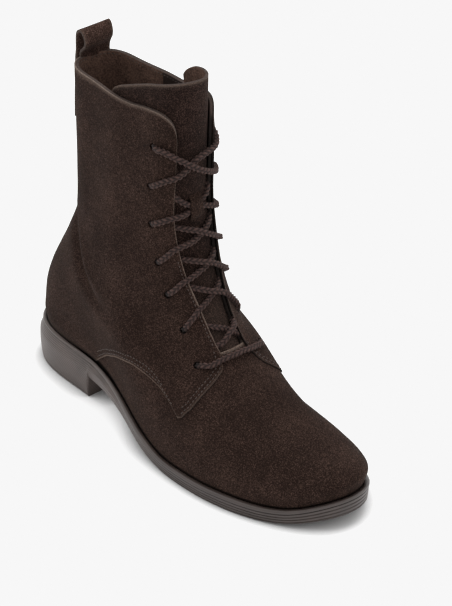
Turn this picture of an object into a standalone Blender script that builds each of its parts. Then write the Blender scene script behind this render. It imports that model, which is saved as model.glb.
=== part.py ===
"""Suede lace-up boot for the right foot, as separate named solids.

Sizes are in millimetres and become metres when a mesh is made.
+X points to the toe, +Y to the inner (medial) side and +Z up.
"""
import math
from collections import namedtuple

import bmesh
import bpy
from mathutils import Vector

MM = 0.001
GAP = 0.3

# Sole: half length, and the width factors of the outline at five stations from heel to toe
SOLE_HALF = 136.0
SOLE_LATERAL = (47, 31.5, 45, 54, 55)
SOLE_MEDIAL = (47, 31, 30, 50.5, 57)
SOLE_STATIONS = 42
BREAST_X = -70.0
BREAST_SLANT = 1.5
# Height of the sole's top edge and of its underside along the length
RIM = ((-136, 28), (-68, 26.5), (-27, 23), (14, 10), (41, 9), (68, 9.5), (109, 11.5), (136, 21.5))
UNDERSIDE = ((-68.5, 14.5), (-27, 12.8), (6, 2.7), (28, 0), (75, 0), (109, 2), (136, 9.5))

# Side of the sole: rounded rim with a groove below it, as depth under the rim and inset from the outline
Edge = namedtuple("Edge", "depth inset")
RIM_ROUND = (
    Edge(0.0, 1.8), Edge(0.6, 0.5), Edge(1.7, 0.0),
    Edge(3.0, 0.1), Edge(3.5, 0.8), Edge(4.1, 0.3),
)
# Lower side: share of the remaining height at the forepart and at the heel, and inset there
Rib = namedtuple("Rib", "fore heel fore_inset heel_inset")
RIBS = (
    Rib(0.27, 0.20, 0.3, 0.3), Rib(0.32, 0.40, 0.9, 0.3), Rib(0.37, 0.55, 0.4, 0.3),
    Rib(0.60, 0.70, 0.5, 0.3), Rib(0.65, 0.88, 1.1, 0.3), Rib(0.70, 0.905, 0.6, 0.8),
    Rib(0.90, 0.93, 0.8, 0.3), Rib(1.00, 1.00, 1.9, 0.9),
)
# The side changes from forepart to heel between these places
FORE_END = -20.0
HEEL_START = -65.0

# Upper: rings from the feather edge to above the collar; features count them as levels 0 to 10
# along is the place of a ring on the way up the form, follow how far it keeps to the sole's height curve
# widths are factors at five stations from back to front
Ring = namedtuple("Ring", "name along x_back z_back x_front z_front follow lateral medial")
RINGS = (
    Ring("feather", 0.0, -132.0, 28.4, 132.5, 20.7, 1.0, (46, 29, 42, 50.5, 52), (46, 29, 27.5, 46, 53)),
    Ring("low", 1.1, -130.5, 41.0, 134.0, 29.6, 0.9, (44, 30, 43, 50.5, 53), (44, 30, 30, 45, 58.3)),
    Ring("bulge", 2.4, -129.0, 55.0, 126.5, 35.0, 0.6, (41.5, 32, 42.5, 46.5, 50.5),
         (41.5, 32, 33, 34, 52.2)),
    Ring("vamp", 4.3, -124.0, 69.0, 103.0, 41.0, 0.3, (38, 33, 40, 41, 43), (38, 33, 34.7, 28, 34.6)),
    Ring("ball", 7.1, -116.0, 84.0, 66.2, 54.0, 0.1, (34, 33, 37, 35, 33), (34, 33, 33, 35, 28)),
    Ring("throat", 10.0, -106.5, 101.0, 32.0, 72.0, 0.0, (31, 31, 32, 31, 32), (31, 31, 30, 32, 30)),
    Ring("instep", 13.1, -98.0, 121.0, 10.5, 106.0, 0.0, (28, 27, 28, 29, 33), (28, 27, 28, 28, 33)),
    Ring("ankle", 16.6, -96.0, 150.0, 1.5, 146.0, 0.0, (29, 22.8, 24, 26, 33), (29, 23, 24, 26, 34)),
    Ring("shaft", 19.9, -96.0, 182.0, 2.0, 180.0, 0.0, (30, 21.3, 22, 24, 33), (30, 21.5, 22, 24, 34)),
    Ring("collar", 23.1, -96, 214.5, 3.5, 212, 0, (31, 20.8, 20.5, 22.5, 33), (31, 21, 20.5, 22.5, 34)),
    Ring("above", 26.3, -96, 247, 4.5, 244, 0, (31, 20.8, 20.5, 22.5, 33), (31, 21, 20.5, 22.5, 34)),
)
COLLAR = 9.0
THROAT_LEVEL = 4.95
# Half angle of the throat opening at ring levels
THROAT = ((4.95, 16.5), (5.6, 17.0), (6.3, 23.0), (6.9, 26.0), (7.7, 25.0), (9.0, 24.0))
# Lower edge of the quarter as angle and level, from the throat corner to the point, then to the heel
QUARTER_FRONT = ((16.5, 4.95), (24, 4.62), (34, 4.36), (46, 3.98), (57, 3.49), (66, 2.95), (73, 2.32))
QUARTER_REAR = ((73, 2.32), (76, 3.02), (79, 3.17), (84, 3.21), (91.5, 3.06), (98.5, 2.62),
                (106.5, 1.95), (113.5, 1.07), (119.5, 0))
# Wall thickness, height of the quarter over the vamp, and the rounded collar corner at the throat
WALL = 1.6
STEP = 1.0
CORNER_DROP = 0.4
CORNER_SPAN = 0.11
# Rows and columns of the upper's mesh; rows lie closer together near the sole
VAMP_ROWS = 10
QUARTER_ROWS = 12
INNER_ROWS = (5, 6)
ROW_EASE = 1.3
FRONT_COLUMNS = 6
SIDE_COLUMNS = (11, 11, 10)

# Eyelets: ring level and angle from the front, from the top pair to the lowest
EYELETS = ((8.4, 49), (7.6, 50), (6.9, 49), (6.3, 46), (5.8, 43), (5.25, 39), (4.5, 44))
EYELET_RADIUS = 2.4
EYELET_REACH = 2.5
EYELET_ROUND = 3

# Tongue: side angles at ring levels, top edge over the angle, and depth below the form
TONGUE_LATERAL = ((4.3, 26), (5.5, 34), (7.0, 60), (8.2, 90), (9.7, 104))
TONGUE_MEDIAL = ((4.3, 26), (5.5, 34), (7.0, 50), (8.2, 62), (9.7, 72))
TONGUE_TOP = ((-104, 8.95), (-97, 9.15), (-85, 9.25), (-60, 9.42), (-30, 9.52), (0, 9.6),
              (30, 9.64), (52, 9.58), (64, 9.4), (72, 9.1))
TONGUE_FOOT = 4.35
TONGUE_OUT = -2.6
TONGUE_THICK = 1.8
TONGUE_COLUMNS = 15
TONGUE_ROWS = 12
# Keeper: band on the tongue between two levels, its half angle, height over the tongue and thickness
KEEPER_LEVELS = (6.9, 7.6)
KEEPER_HALF = 8.0
KEEPER_ARCH = 7.7
KEEPER_THICK = 1.2
KEEPER_STEPS = 12

# Lace: cord radius and how far its centre line lies from the form
LACE_RADIUS = 2.1
LACE_OVER = STEP + 2 * GAP + LACE_RADIUS
LACE_LOW = TONGUE_OUT + GAP + LACE_RADIUS
LACE_ROUND = 1
LACE_RUN = 12
# Distance by which a run that dives under the far quarter stops short of its edge
EDGE_CLEAR = 3.2
# Rise of the middle in ring levels: a taut lace takes the short way over the instep
BAR_ARCH = 0.36
CROSS_ARCH = (0.0, 0.12, 0.12, 0.08, 0.0, 0.0)
# The lowest crossing lies inside the throat, between these levels and angles
DEEP_LEVELS = (5.08, 5.28)
DEEP_ANGLE = 10.0
# Height of the lower and the upper run above the tongue, near the edge and in the middle
OPEN_RISE = ((2.2, 0.5), (3.0, 2.2))
KEEPER_RISE = ((0.6, 0.2), (1.4, 1.2))
KEEPER_CROSSING = 5

# Pull loop: centre line as distance out from the back of the form and ring level, and half width
Loop = namedtuple("Loop", "out level")
LOOP = (
    Loop(2.2, 7.85), Loop(2.2, 8.4), Loop(2.2, 8.95), Loop(2.4, 9.2), Loop(2.2, 9.4), Loop(0.2, 9.56),
    Loop(-3.0, 9.61), Loop(-6.2, 9.54), Loop(-8.2, 9.36), Loop(-6.9, 9.18), Loop(-3.8, 9.0),
    Loop(-3.0, 8.8), Loop(-3.0, 8.5),
)
LOOP_HALF_WIDTH = 10.0
LOOP_THICK = 1.6
LOOP_STEPS = 24

# Insole: thickness, and gap between its edge and the wall
INSOLE_THICK = 2.8
INSOLE_CLEAR = 1.2
INSOLE_STATIONS = 36


def curve(rows, x):
    """Smooth value at x through rows of (x, value)."""
    last = len(rows) - 1
    k = 0
    while k < last - 1 and x > rows[k + 1][0]:
        k += 1

    def slope(i):
        a = rows[max(i - 1, 0)]
        b = rows[min(i + 1, last)]
        return (b[1] - a[1]) / (b[0] - a[0])

    span = rows[k + 1][0] - rows[k][0]
    t = (x - rows[k][0]) / span
    m0 = slope(k) * span
    m1 = slope(k + 1) * span
    t2 = t * t
    t3 = t2 * t
    return ((2 * t3 - 3 * t2 + 1) * rows[k][1] + (t3 - 2 * t2 + t) * m0
            + (3 * t2 - 2 * t3) * rows[k + 1][1] + (t3 - t2) * m1)


def width_at(widths, share):
    """Width factor at a share of the length from back to front."""
    return curve([(i / 4, w) for i, w in enumerate(widths)], share)


def rim_height(x):
    """Height of the sole's top edge at x."""
    return curve(RIM, min(max(x, -SOLE_HALF), SOLE_HALF))


def underside_height(x):
    """Height of the sole's underside in front of the heel."""
    return max(curve(UNDERSIDE, x), 0.0)


def sole_outline(angle):
    """Plan point of the sole at an angle, 0 at the toe and positive on the medial side."""
    share = (1 + math.cos(angle)) / 2
    widths = SOLE_MEDIAL if angle > 0 else SOLE_LATERAL
    return Vector((SOLE_HALF * (2 * share - 1), width_at(widths, share) * math.sin(angle)))


def sole_inset(angle, inset):
    """Plan point of the sole moved in from its outline."""
    side = 1 if angle > 0 else -1
    near = max(abs(angle) - 0.01, 0.0)
    far = min(abs(angle) + 0.01, math.pi)
    run = sole_outline(side * far) - sole_outline(side * near)
    normal = Vector((run.y, -run.x)).normalized() * side
    point = sole_outline(angle) - normal * inset
    if abs(angle) < 0.001 or abs(angle) > math.pi - 0.001:
        point.y = 0.0
    return point


def ring_at(level):
    """Ring sizes at a level between the rows of the table."""
    low = min(max(int(level), 0), len(RINGS) - 2)
    place = RINGS[low].along + (RINGS[low + 1].along - RINGS[low].along) * (level - low)

    def column(get):
        return curve([(r.along, get(r)) for r in RINGS], place)

    lateral = [column(lambda r, i=i: r.lateral[i]) for i in range(5)]
    medial = [column(lambda r, i=i: r.medial[i]) for i in range(5)]
    follow = min(max(column(lambda r: r.follow), 0.0), 1.0)
    back = (column(lambda r: r.x_back), column(lambda r: r.z_back))
    front = (column(lambda r: r.x_front), column(lambda r: r.z_front))
    return Ring("", place, *back, *front, follow, lateral, medial)


def form(angle, level):
    """Point of the boot's form at an angle from the front and a ring level."""
    ring = ring_at(level)
    share = (1 + math.cos(angle)) / 2
    x = ring.x_back + (ring.x_front - ring.x_back) * share
    y = width_at(ring.medial if angle > 0 else ring.lateral, share) * math.sin(angle)
    line = ring.z_back + (ring.z_front - ring.z_back) * share
    lift_back = ring.z_back - rim_height(ring.x_back)
    lift_front = ring.z_front - rim_height(ring.x_front)
    low = rim_height(x) + lift_back + (lift_front - lift_back) * share
    return Vector((x, y, line + (low - line) * ring.follow))


def off_form(angle, level, out):
    """Point at a distance out from the form along its normal."""
    across = form(angle + 0.01, level) - form(angle - 0.01, level)
    below = max(level - 0.02, 0.0)
    along = form(angle, level + 0.02) - form(angle, below)
    normal = across.cross(along)
    if level < 0.001:
        normal.z = 0.0
    return form(angle, level) + normal.normalized() * out


def throat_angle(level):
    """Half angle of the throat opening in radians."""
    return math.radians(curve(THROAT, min(max(level, THROAT_LEVEL), COLLAR)))


def side_angle(share, level):
    """Angle of a side column, from 0 at the throat edge to 1 at the back."""
    edge = throat_angle(level)
    return edge + (math.pi - edge) * share


def share_of(degrees):
    """Share of a side column that has this angle below the throat."""
    edge = throat_angle(THROAT_LEVEL)
    return (math.radians(degrees) - edge) / (math.pi - edge)


def quarter_level(share):
    """Ring level of the quarter's lower edge at a side column."""
    degrees = math.degrees(side_angle(share, 0.0))
    if degrees <= QUARTER_REAR[0][0]:
        return curve(QUARTER_FRONT, degrees)
    if degrees >= QUARTER_REAR[-1][0]:
        return 0.0
    return max(curve(QUARTER_REAR, degrees), 0.0)


def collar_level(share):
    """Ring level of the top edge, rounded down at the throat corner."""
    if share >= CORNER_SPAN:
        return COLLAR
    reach = 1 - share / CORNER_SPAN
    return COLLAR - CORNER_DROP * (1 - math.sqrt(1 - reach * reach))


def side_shares():
    """Shares of the side columns, closer together at the throat corner."""
    point = share_of(QUARTER_REAR[0][0])
    heel = share_of(QUARTER_REAR[-1][0])
    first, second, third = SIDE_COLUMNS
    shares = [point * (1 - math.cos(math.pi / 2 * i / first)) for i in range(first)]
    shares += [point + (heel - point) * i / second for i in range(second)]
    shares += [heel + (1 - heel) * i / third for i in range(third + 1)]
    return shares


class Mesh:
    """Collects points and faces for one solid."""

    def __init__(self):
        self.points = []
        self.faces = []

    def row(self, points):
        """Add points and return their numbers."""
        start = len(self.points)
        self.points.extend(points)
        return list(range(start, len(self.points)))

    def strip(self, low, high):
        """Quads between two rows of equal length."""
        for i in range(len(low) - 1):
            self.faces.append((low[i], low[i + 1], high[i + 1], high[i]))

    def zip(self, low, high, low_at, high_at):
        """Triangles between two rows of different length, matched by their places."""
        i = 0
        j = 0
        while i < len(low) - 1 or j < len(high) - 1:
            take_low = j == len(high) - 1 or (i < len(low) - 1 and low_at[i + 1] <= high_at[j + 1])
            if take_low:
                self.faces.append((low[i], low[i + 1], high[j]))
                i += 1
            else:
                self.faces.append((low[i], high[j + 1], high[j]))
                j += 1

    def to_object(self, name, collection, material=None):
        """Make a closed mesh object in metres."""
        data = bpy.data.meshes.new(name)
        data.from_pydata([tuple(p * MM) for p in self.points], [], self.faces)
        return closed_object(name, [data], collection, material)


def closed_object(name, meshes, collection, material=None):
    """One object from closed meshes, welded and with outward faces."""
    work = bmesh.new()
    for data in meshes:
        work.from_mesh(data)
        bpy.data.meshes.remove(data)
    bmesh.ops.remove_doubles(work, verts=work.verts, dist=0.00001)
    bmesh.ops.dissolve_degenerate(work, edges=work.edges, dist=0.000005)
    bmesh.ops.triangulate(work, faces=work.faces)
    bmesh.ops.recalc_face_normals(work, faces=work.faces)
    whole = bpy.data.meshes.new(name)
    work.to_mesh(whole)
    work.free()
    item = bpy.data.objects.new(name, whole)
    collection.objects.link(item)
    if material:
        whole.materials.append(material)
    return item


def plain_material(name, colour, roughness):
    """One Principled material for a solid."""
    item = bpy.data.materials.new(name)
    item.use_nodes = True
    shader = item.node_tree.nodes["Principled BSDF"]
    shader.inputs["Base Color"].default_value = (*colour, 1)
    shader.inputs["Roughness"].default_value = roughness
    return item


def sole_angles():
    """Angles of the sole's stations from the toe to the back, with two at the heel breast."""
    angles = [math.pi * i / SOLE_STATIONS for i in range(SOLE_STATIONS + 1)]
    front = math.acos((BREAST_X + BREAST_SLANT) / SOLE_HALF)
    back = math.acos(BREAST_X / SOLE_HALF)
    clear = math.pi / SOLE_STATIONS * 0.45
    angles = [a for a in angles if a < front - clear or a > back + clear]
    return sorted(angles + [front, back])


def sole_side(angle, side):
    """Points down one side of the sole at a station."""
    x = sole_outline(angle).x
    in_heel = x <= BREAST_X + 0.01
    rim = rim_height(x)
    height = rim if in_heel else rim - underside_height(x)
    start = RIM_ROUND[-1].depth
    heel = min(max((FORE_END - x) / (FORE_END - HEEL_START), 0.0), 1.0)
    points = []
    for edge in RIM_ROUND:
        plan = sole_inset(side * angle, edge.inset)
        points.append(Vector((plan.x, plan.y, rim_height(plan.x) - edge.depth)))
    for rib in RIBS:
        share = rib.heel if in_heel else rib.fore
        inset = rib.fore_inset + (rib.heel_inset - rib.fore_inset) * heel
        plan = sole_inset(side * angle, inset)
        points.append(Vector((plan.x, plan.y, rim - start - share * (height - start))))
    return points


def build_outsole(collection, material):
    """Unit sole with rim, ribs, waist and heel as one loft along the length."""
    mesh = Mesh()
    sections = []
    for angle in sole_angles():
        left = mesh.row(sole_side(angle, -1))
        right = mesh.row(sole_side(angle, 1))
        sections.append(left + right[::-1])
    for near, far in zip(sections, sections[1:]):
        mesh.strip(near + near[:1], far + far[:1])
    return mesh.to_object("outsole", collection, material)


def build_insole(collection, material):
    """Footbed inside the wall of the upper."""
    mesh = Mesh()
    sections = []
    for i in range(INSOLE_STATIONS + 1):
        angle = math.pi * i / INSOLE_STATIONS
        corners = []
        for side, rise in ((-1, GAP + INSOLE_THICK), (-1, GAP), (1, GAP), (1, GAP + INSOLE_THICK)):
            at = form(side * angle, 0.0)
            inside = off_form(side * angle, 0.0, -WALL - INSOLE_CLEAR)
            point = Vector((inside.x, inside.y, rim_height(at.x) + rise))
            if i in (0, INSOLE_STATIONS):
                point.y = 0.0
            corners.append(point)
        sections.append(mesh.row(corners))
    for near, far in zip(sections, sections[1:]):
        mesh.strip(near + near[:1], far + far[:1])
    return mesh.to_object("insole", collection, material)


def upper_columns():
    """Columns from the lateral throat edge round the back to the medial one, and those over the vamp."""
    shares = side_shares()
    lateral = [(-1, share) for share in shares]
    medial = [(1, share) for share in shares[-2::-1]]
    edge = throat_angle(THROAT_LEVEL)
    front = [edge * (1 - 2 * i / FRONT_COLUMNS) for i in range(1, FRONT_COLUMNS)]
    return lateral + medial, front


def spread(low, high, count, ease=1.0):
    """Steps from low to high, closer together at the low end when ease is over 1."""
    return [low + (high - low) * (i / count) ** ease for i in range(count + 1)]


def build_upper(collection, material, cutter):
    """Hollow wall with the quarter as a step over the vamp."""
    mesh = Mesh()
    sides, front = upper_columns()
    vamp = []
    quarter = []
    inner = []
    inner_levels = []
    for side, share in sides:
        seam = quarter_level(share)
        top = collar_level(share)
        low_levels = spread(0.0, seam, VAMP_ROWS, ROW_EASE)
        high_levels = spread(seam, top, QUARTER_ROWS, ROW_EASE)
        vamp.append(mesh.row([off_form(side * side_angle(share, l), l, 0.0) for l in low_levels]))
        quarter.append(mesh.row([off_form(side * side_angle(share, l), l, STEP) for l in high_levels]))
        levels = spread(0.0, THROAT_LEVEL, INNER_ROWS[0], ROW_EASE)
        levels += spread(THROAT_LEVEL, top, INNER_ROWS[1])[1:]
        inner.append(mesh.row([off_form(side * side_angle(share, l), l, -WALL) for l in levels]))
        inner_levels.append(levels)
    vamp_front = []
    inner_front = []
    for angle in front:
        levels = spread(0.0, THROAT_LEVEL, VAMP_ROWS, ROW_EASE)
        vamp_front.append(mesh.row([off_form(angle, l, 0.0) for l in levels]))
        levels = spread(0.0, THROAT_LEVEL, INNER_ROWS[0], ROW_EASE)
        inner_front.append(mesh.row([off_form(angle, l, -WALL) for l in levels]))
    for k in range(len(sides) - 1):
        mesh.strip(vamp[k], vamp[k + 1])
        mesh.strip(quarter[k], quarter[k + 1])
        mesh.strip(inner[k], inner[k + 1])
        mesh.faces.append((vamp[k][-1], vamp[k + 1][-1], quarter[k + 1][0], quarter[k][0]))
        mesh.faces.append((quarter[k][-1], quarter[k + 1][-1], inner[k + 1][-1], inner[k][-1]))
        mesh.faces.append((inner[k][0], inner[k + 1][0], vamp[k + 1][0], vamp[k][0]))
    turn = INNER_ROWS[0]
    low_inner = [row[:turn + 1] for row in (inner[-1], inner[0])]
    loop = [vamp[-1]] + vamp_front + [vamp[0]]
    inside = [low_inner[0]] + inner_front + [low_inner[1]]
    for k in range(len(loop) - 1):
        mesh.strip(loop[k], loop[k + 1])
        mesh.strip(inside[k], inside[k + 1])
        mesh.faces.append((inside[k][0], inside[k + 1][0], loop[k + 1][0], loop[k][0]))
        mesh.faces.append((loop[k][-1], loop[k + 1][-1], inside[k + 1][-1], inside[k][-1]))
    for k in (0, -1):
        out = [vamp[k][-1]] + quarter[k]
        back = inner[k][turn:]
        levels = inner_levels[k][turn:]
        places = [levels[0], levels[1] + 0.001]
        places += spread(THROAT_LEVEL, collar_level(0), QUARTER_ROWS, ROW_EASE)[1:]
        for i in range(2, len(places)):
            places[i] = max(places[i], places[i - 1] + 0.001)
        mesh.zip(out, back, places, levels)
    upper = mesh.to_object("upper", collection, material)
    holes = upper.modifiers.new("eyelets", "BOOLEAN")
    holes.operation = "DIFFERENCE"
    holes.solver = "EXACT"
    holes.object = cutter
    return upper


def tube(path, radius, roundness):
    """Mesh of a round bar along a path, from a bevelled curve."""
    line = bpy.data.curves.new("tube", "CURVE")
    line.dimensions = "3D"
    line.bevel_depth = radius * MM
    line.bevel_resolution = roundness
    line.use_fill_caps = True
    spline = line.splines.new("POLY")
    spline.points.add(len(path) - 1)
    for knot, point in zip(spline.points, path):
        knot.co = (*(point * MM), 1)
    bar = bpy.data.objects.new("tube", line)
    bpy.context.scene.collection.objects.link(bar)
    graph = bpy.context.evaluated_depsgraph_get()
    data = bpy.data.meshes.new_from_object(bar.evaluated_get(graph))
    bpy.data.objects.remove(bar)
    return data


def build_eyelet_cutter(collection):
    """Round holes through both quarters."""
    holes = []
    for level, degrees in EYELETS:
        for side in (-1, 1):
            angle = side * math.radians(degrees)
            start = off_form(angle, level, -WALL - EYELET_REACH)
            end = off_form(angle, level, STEP + EYELET_REACH)
            holes.append(tube([start, end], EYELET_RADIUS, EYELET_ROUND))
    return as_cutter(closed_object("eyelet_cutter", holes, collection))


def as_cutter(item):
    """Hide a helper solid from the part."""
    item.hide_render = True
    item.display_type = "WIRE"
    return item


def sheet(mesh, outer, inner):
    """Close two grids of rows into one solid sheet."""
    for k in range(len(outer) - 1):
        mesh.strip(outer[k], outer[k + 1])
        mesh.strip(inner[k], inner[k + 1])
    for a, b in ((outer[0], inner[0]), (outer[-1], inner[-1])):
        mesh.strip(a, b)
    for end in (0, -1):
        mesh.strip([row[end] for row in outer], [row[end] for row in inner])


def build_tongue(collection, material, keeper):
    """Wide sheet under the quarters with the keeper band fused on."""
    mesh = Mesh()
    outer = []
    inner = []
    left = -curve(TONGUE_LATERAL, COLLAR)
    right = curve(TONGUE_MEDIAL, COLLAR)
    for i in range(TONGUE_COLUMNS + 1):
        share = i / TONGUE_COLUMNS
        outer_row = []
        inner_row = []
        top = curve(TONGUE_TOP, left + (right - left) * share)
        for level in spread(TONGUE_FOOT, top, TONGUE_ROWS):
            side = -curve(TONGUE_LATERAL, level)
            other = curve(TONGUE_MEDIAL, level)
            angle = math.radians(side + (other - side) * share)
            outer_row.append(off_form(angle, level, TONGUE_OUT))
            inner_row.append(off_form(angle, level, TONGUE_OUT - TONGUE_THICK))
        outer.append(mesh.row(outer_row))
        inner.append(mesh.row(inner_row))
    sheet(mesh, outer, inner)
    tongue = mesh.to_object("tongue", collection, material)
    join = tongue.modifiers.new("keeper", "BOOLEAN")
    join.operation = "UNION"
    join.solver = "EXACT"
    join.object = keeper
    return tongue


def build_keeper(collection):
    """Band that arches over the laces on the tongue."""
    mesh = Mesh()
    low, high = KEEPER_LEVELS
    outer = []
    inner = []
    for degrees in spread(-KEEPER_HALF, KEEPER_HALF, 2):
        angle = math.radians(degrees)
        outer_row = []
        inner_row = []
        for i, level in enumerate(spread(low, high, KEEPER_STEPS)):
            arch = min(1.0, 1.5 * math.sin(math.pi * i / KEEPER_STEPS))
            centre = TONGUE_OUT - TONGUE_THICK / 2 + arch * KEEPER_ARCH
            outer_row.append(off_form(angle, level, centre + KEEPER_THICK / 2))
            inner_row.append(off_form(angle, level, centre - KEEPER_THICK / 2))
        outer.append(mesh.row(outer_row))
        inner.append(mesh.row(inner_row))
    sheet(mesh, outer, inner)
    return as_cutter(mesh.to_object("keeper_band", collection))


def lace_path(start, end, marks, arch):
    """Centre line between two (level, angle) ends, with marks of (angle on the way, distance out)."""
    path = []
    turn = 1 if end[1] > start[1] else -1
    for i in range(LACE_RUN + 1):
        share = i / LACE_RUN
        angle = start[1] + (end[1] - start[1]) * share
        bow = arch * (1 - (angle / max(abs(start[1]), abs(end[1]))) ** 2)
        level = start[0] + (end[0] - start[0]) * share + bow
        path.append(off_form(math.radians(angle), level, curve(marks, turn * angle)))
    return path


def crossing_runs(number):
    """Start and end of a crossing as (level, angle), and the marks of its lower and upper run."""
    count = len(EYELETS)
    level, angle = EYELETS[count - number]
    next_level, next_angle = EYELETS[count - number - 1]
    edge_level = (level + next_level) / 2
    half_angle = throat_angle(edge_level)
    edge = math.degrees(half_angle)
    if number == 1:
        low, high = DEEP_LEVELS
        flat = ((-DEEP_ANGLE, LACE_LOW + 0.3), (DEEP_ANGLE, LACE_LOW + 0.3))
        bowed = ((-DEEP_ANGLE, LACE_LOW + 0.4), (0, LACE_LOW + 2.4), (DEEP_ANGLE, LACE_LOW + 0.4))
        return (low, DEEP_ANGLE), (high, DEEP_ANGLE), flat, bowed
    stop = edge * (1 - EDGE_CLEAR / form(half_angle, edge_level).y)
    end = (level + (next_level - level) * (angle + stop) / (angle + next_angle), stop)
    tail = ((stop, LACE_LOW + 0.3),)
    if number == count - 1:
        end = (next_level, next_angle)
        tail = ((edge + 2, LACE_OVER + 0.2), (next_angle, LACE_OVER))
    rise = KEEPER_RISE if number == KEEPER_CROSSING else OPEN_RISE
    runs = []
    for near, middle in rise:
        runs.append(((-angle, LACE_OVER), (-edge - 2, LACE_OVER + 0.2), (-edge * 0.35, LACE_LOW + near),
                     (0, LACE_LOW + middle)) + tail)
    return (level, angle), end, runs[0], runs[1]


def build_laces(collection, helpers, material):
    """Lowest bar and six crossings, each crossing fused from two runs."""
    level, angle = EYELETS[-1]
    marks = ((-angle, LACE_OVER), (0, LACE_OVER), (angle, LACE_OVER))
    bar = lace_path((level, -angle), (level, angle), marks, BAR_ARCH)
    closed_object("lace_bar", [tube(bar, LACE_RADIUS, LACE_ROUND)], collection, material)
    for number in range(1, len(EYELETS)):
        start, end, flat, bowed = crossing_runs(number)
        arch = CROSS_ARCH[number - 1]
        first = lace_path((start[0], -start[1]), (end[0], end[1]), flat, arch)
        second = lace_path((start[0], start[1]), (end[0], -end[1]), bowed, arch)
        name = "lace_cross_%d" % number
        lower = tube(first, LACE_RADIUS, LACE_ROUND)
        upper = tube(second, LACE_RADIUS, LACE_ROUND)
        crossing = closed_object(name, [lower], collection, material)
        other = as_cutter(closed_object(name + "_second", [upper], helpers))
        join = crossing.modifiers.new("second run", "BOOLEAN")
        join.operation = "UNION"
        join.solver = "EXACT"
        join.object = other


def build_pull_loop(collection, material):
    """Folded strap over the back of the collar."""
    mesh = Mesh()
    grids = ([], [])
    outs = [(i, row.out) for i, row in enumerate(LOOP)]
    levels = [(i, row.level) for i, row in enumerate(LOOP)]
    steps = spread(0, len(LOOP) - 1, LOOP_STEPS)
    for across in spread(-LOOP_HALF_WIDTH, LOOP_HALF_WIDTH, 3):
        centres = []
        for at in steps:
            level = curve(levels, at)
            reach = math.asin(across / width_at(ring_at(level).lateral, 0.0))
            centres.append(off_form(math.pi - reach, level, curve(outs, at)))
        for grid, sign in zip(grids, (1, -1)):
            row = []
            for i, centre in enumerate(centres):
                ahead = centres[min(i + 1, len(centres) - 1)] - centres[max(i - 1, 0)]
                normal = ahead.cross(Vector((0, 1, 0))).normalized()
                row.append(centre + normal * sign * LOOP_THICK / 2)
            grid.append(mesh.row(row))
    sheet(mesh, *grids)
    return mesh.to_object("pull_loop", collection, material)


def centre_parts(collections):
    """Move all solids so that the part's box is centred on the origin and stands on the floor."""
    bpy.context.view_layer.update()
    graph = bpy.context.evaluated_depsgraph_get()
    points = []
    for item in collections[0].objects:
        mesh = item.evaluated_get(graph).to_mesh()
        points.extend(v.co.copy() for v in mesh.vertices)
    middle = [(min(p[i] for p in points) + max(p[i] for p in points)) / 2 for i in range(2)]
    shift = Vector((-middle[0], -middle[1], -min(p.z for p in points)))
    for collection in collections:
        for item in collection.objects:
            for vertex in item.data.vertices:
                vertex.co += shift


def main():
    """Build the boot."""
    for item in list(bpy.data.objects):
        bpy.data.objects.remove(item)
    parts = bpy.data.collections.new("suede_boot")
    helpers = bpy.data.collections.new("cutters")
    bpy.context.scene.collection.children.link(parts)
    bpy.context.scene.collection.children.link(helpers)
    suede = plain_material("suede", (0.045, 0.028, 0.020), 0.95)
    rubber = plain_material("sole_rubber", (0.035, 0.027, 0.024), 0.45)
    lining = plain_material("insole_lining", (0.16, 0.10, 0.07), 0.9)
    cord = plain_material("lace_cord", (0.055, 0.032, 0.026), 0.9)
    build_outsole(parts, rubber)
    build_insole(parts, lining)
    build_upper(parts, suede, build_eyelet_cutter(helpers))
    build_tongue(parts, suede, build_keeper(helpers))
    build_pull_loop(parts, suede)
    build_laces(parts, helpers, cord)
    centre_parts((parts, helpers))


main()
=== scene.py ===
"""Looks of the suede lace-up boot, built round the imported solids.

Sizes are in millimetres until a mesh is made, in the frame of the solids:
+X points to the toe, +Y to the inner side of the foot and +Z up.
A place on the boot is an angle from its front, positive on the inner side, and a ring level.
"""
from __future__ import annotations

import logging
import math
from dataclasses import dataclass, field
from enum import Enum
from typing import Any, Sequence

import bmesh
import bpy
import numpy as np
from mathutils import Matrix, Vector

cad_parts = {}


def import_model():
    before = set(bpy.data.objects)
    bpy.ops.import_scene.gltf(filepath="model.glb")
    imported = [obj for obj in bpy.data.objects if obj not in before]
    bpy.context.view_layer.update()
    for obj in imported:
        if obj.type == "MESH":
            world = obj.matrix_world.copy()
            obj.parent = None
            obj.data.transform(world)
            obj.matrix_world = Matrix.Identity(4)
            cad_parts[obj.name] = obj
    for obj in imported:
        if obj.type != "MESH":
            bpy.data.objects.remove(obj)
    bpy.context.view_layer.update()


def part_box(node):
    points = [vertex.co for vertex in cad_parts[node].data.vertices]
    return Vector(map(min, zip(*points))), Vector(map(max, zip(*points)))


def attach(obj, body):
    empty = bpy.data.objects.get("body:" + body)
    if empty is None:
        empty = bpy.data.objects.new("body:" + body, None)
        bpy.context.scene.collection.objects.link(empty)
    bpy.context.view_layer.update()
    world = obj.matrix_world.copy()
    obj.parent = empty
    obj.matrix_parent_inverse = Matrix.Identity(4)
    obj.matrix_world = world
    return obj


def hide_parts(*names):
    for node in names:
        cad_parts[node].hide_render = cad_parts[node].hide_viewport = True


Array = np.ndarray
Span = tuple[float, float]
Rows = tuple[Span, ...]
Colour = tuple[float, float, float]
Marks = tuple[tuple[float, float, float], ...]

LOG = logging.getLogger("suede_boot")
MM = 0.001
BODY = "root"
WELD = 0.000002
ROUND_SEGMENTS = 2
ROUND_ANGLE = 50.0
SHADOW: Colour = (0.006, 0.004, 0.003)
# Near-black that the sole's painted shade mixes towards: in its gaps, grooves, heel-line troughs and
# forepart.
PAINTED_RUBBER_SHADE: Colour = (0.004, 0.003, 0.003)


class Side(Enum):
    """Side of the foot, as the sign of its angles."""

    LATERAL = -1
    MEDIAL = 1


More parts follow.
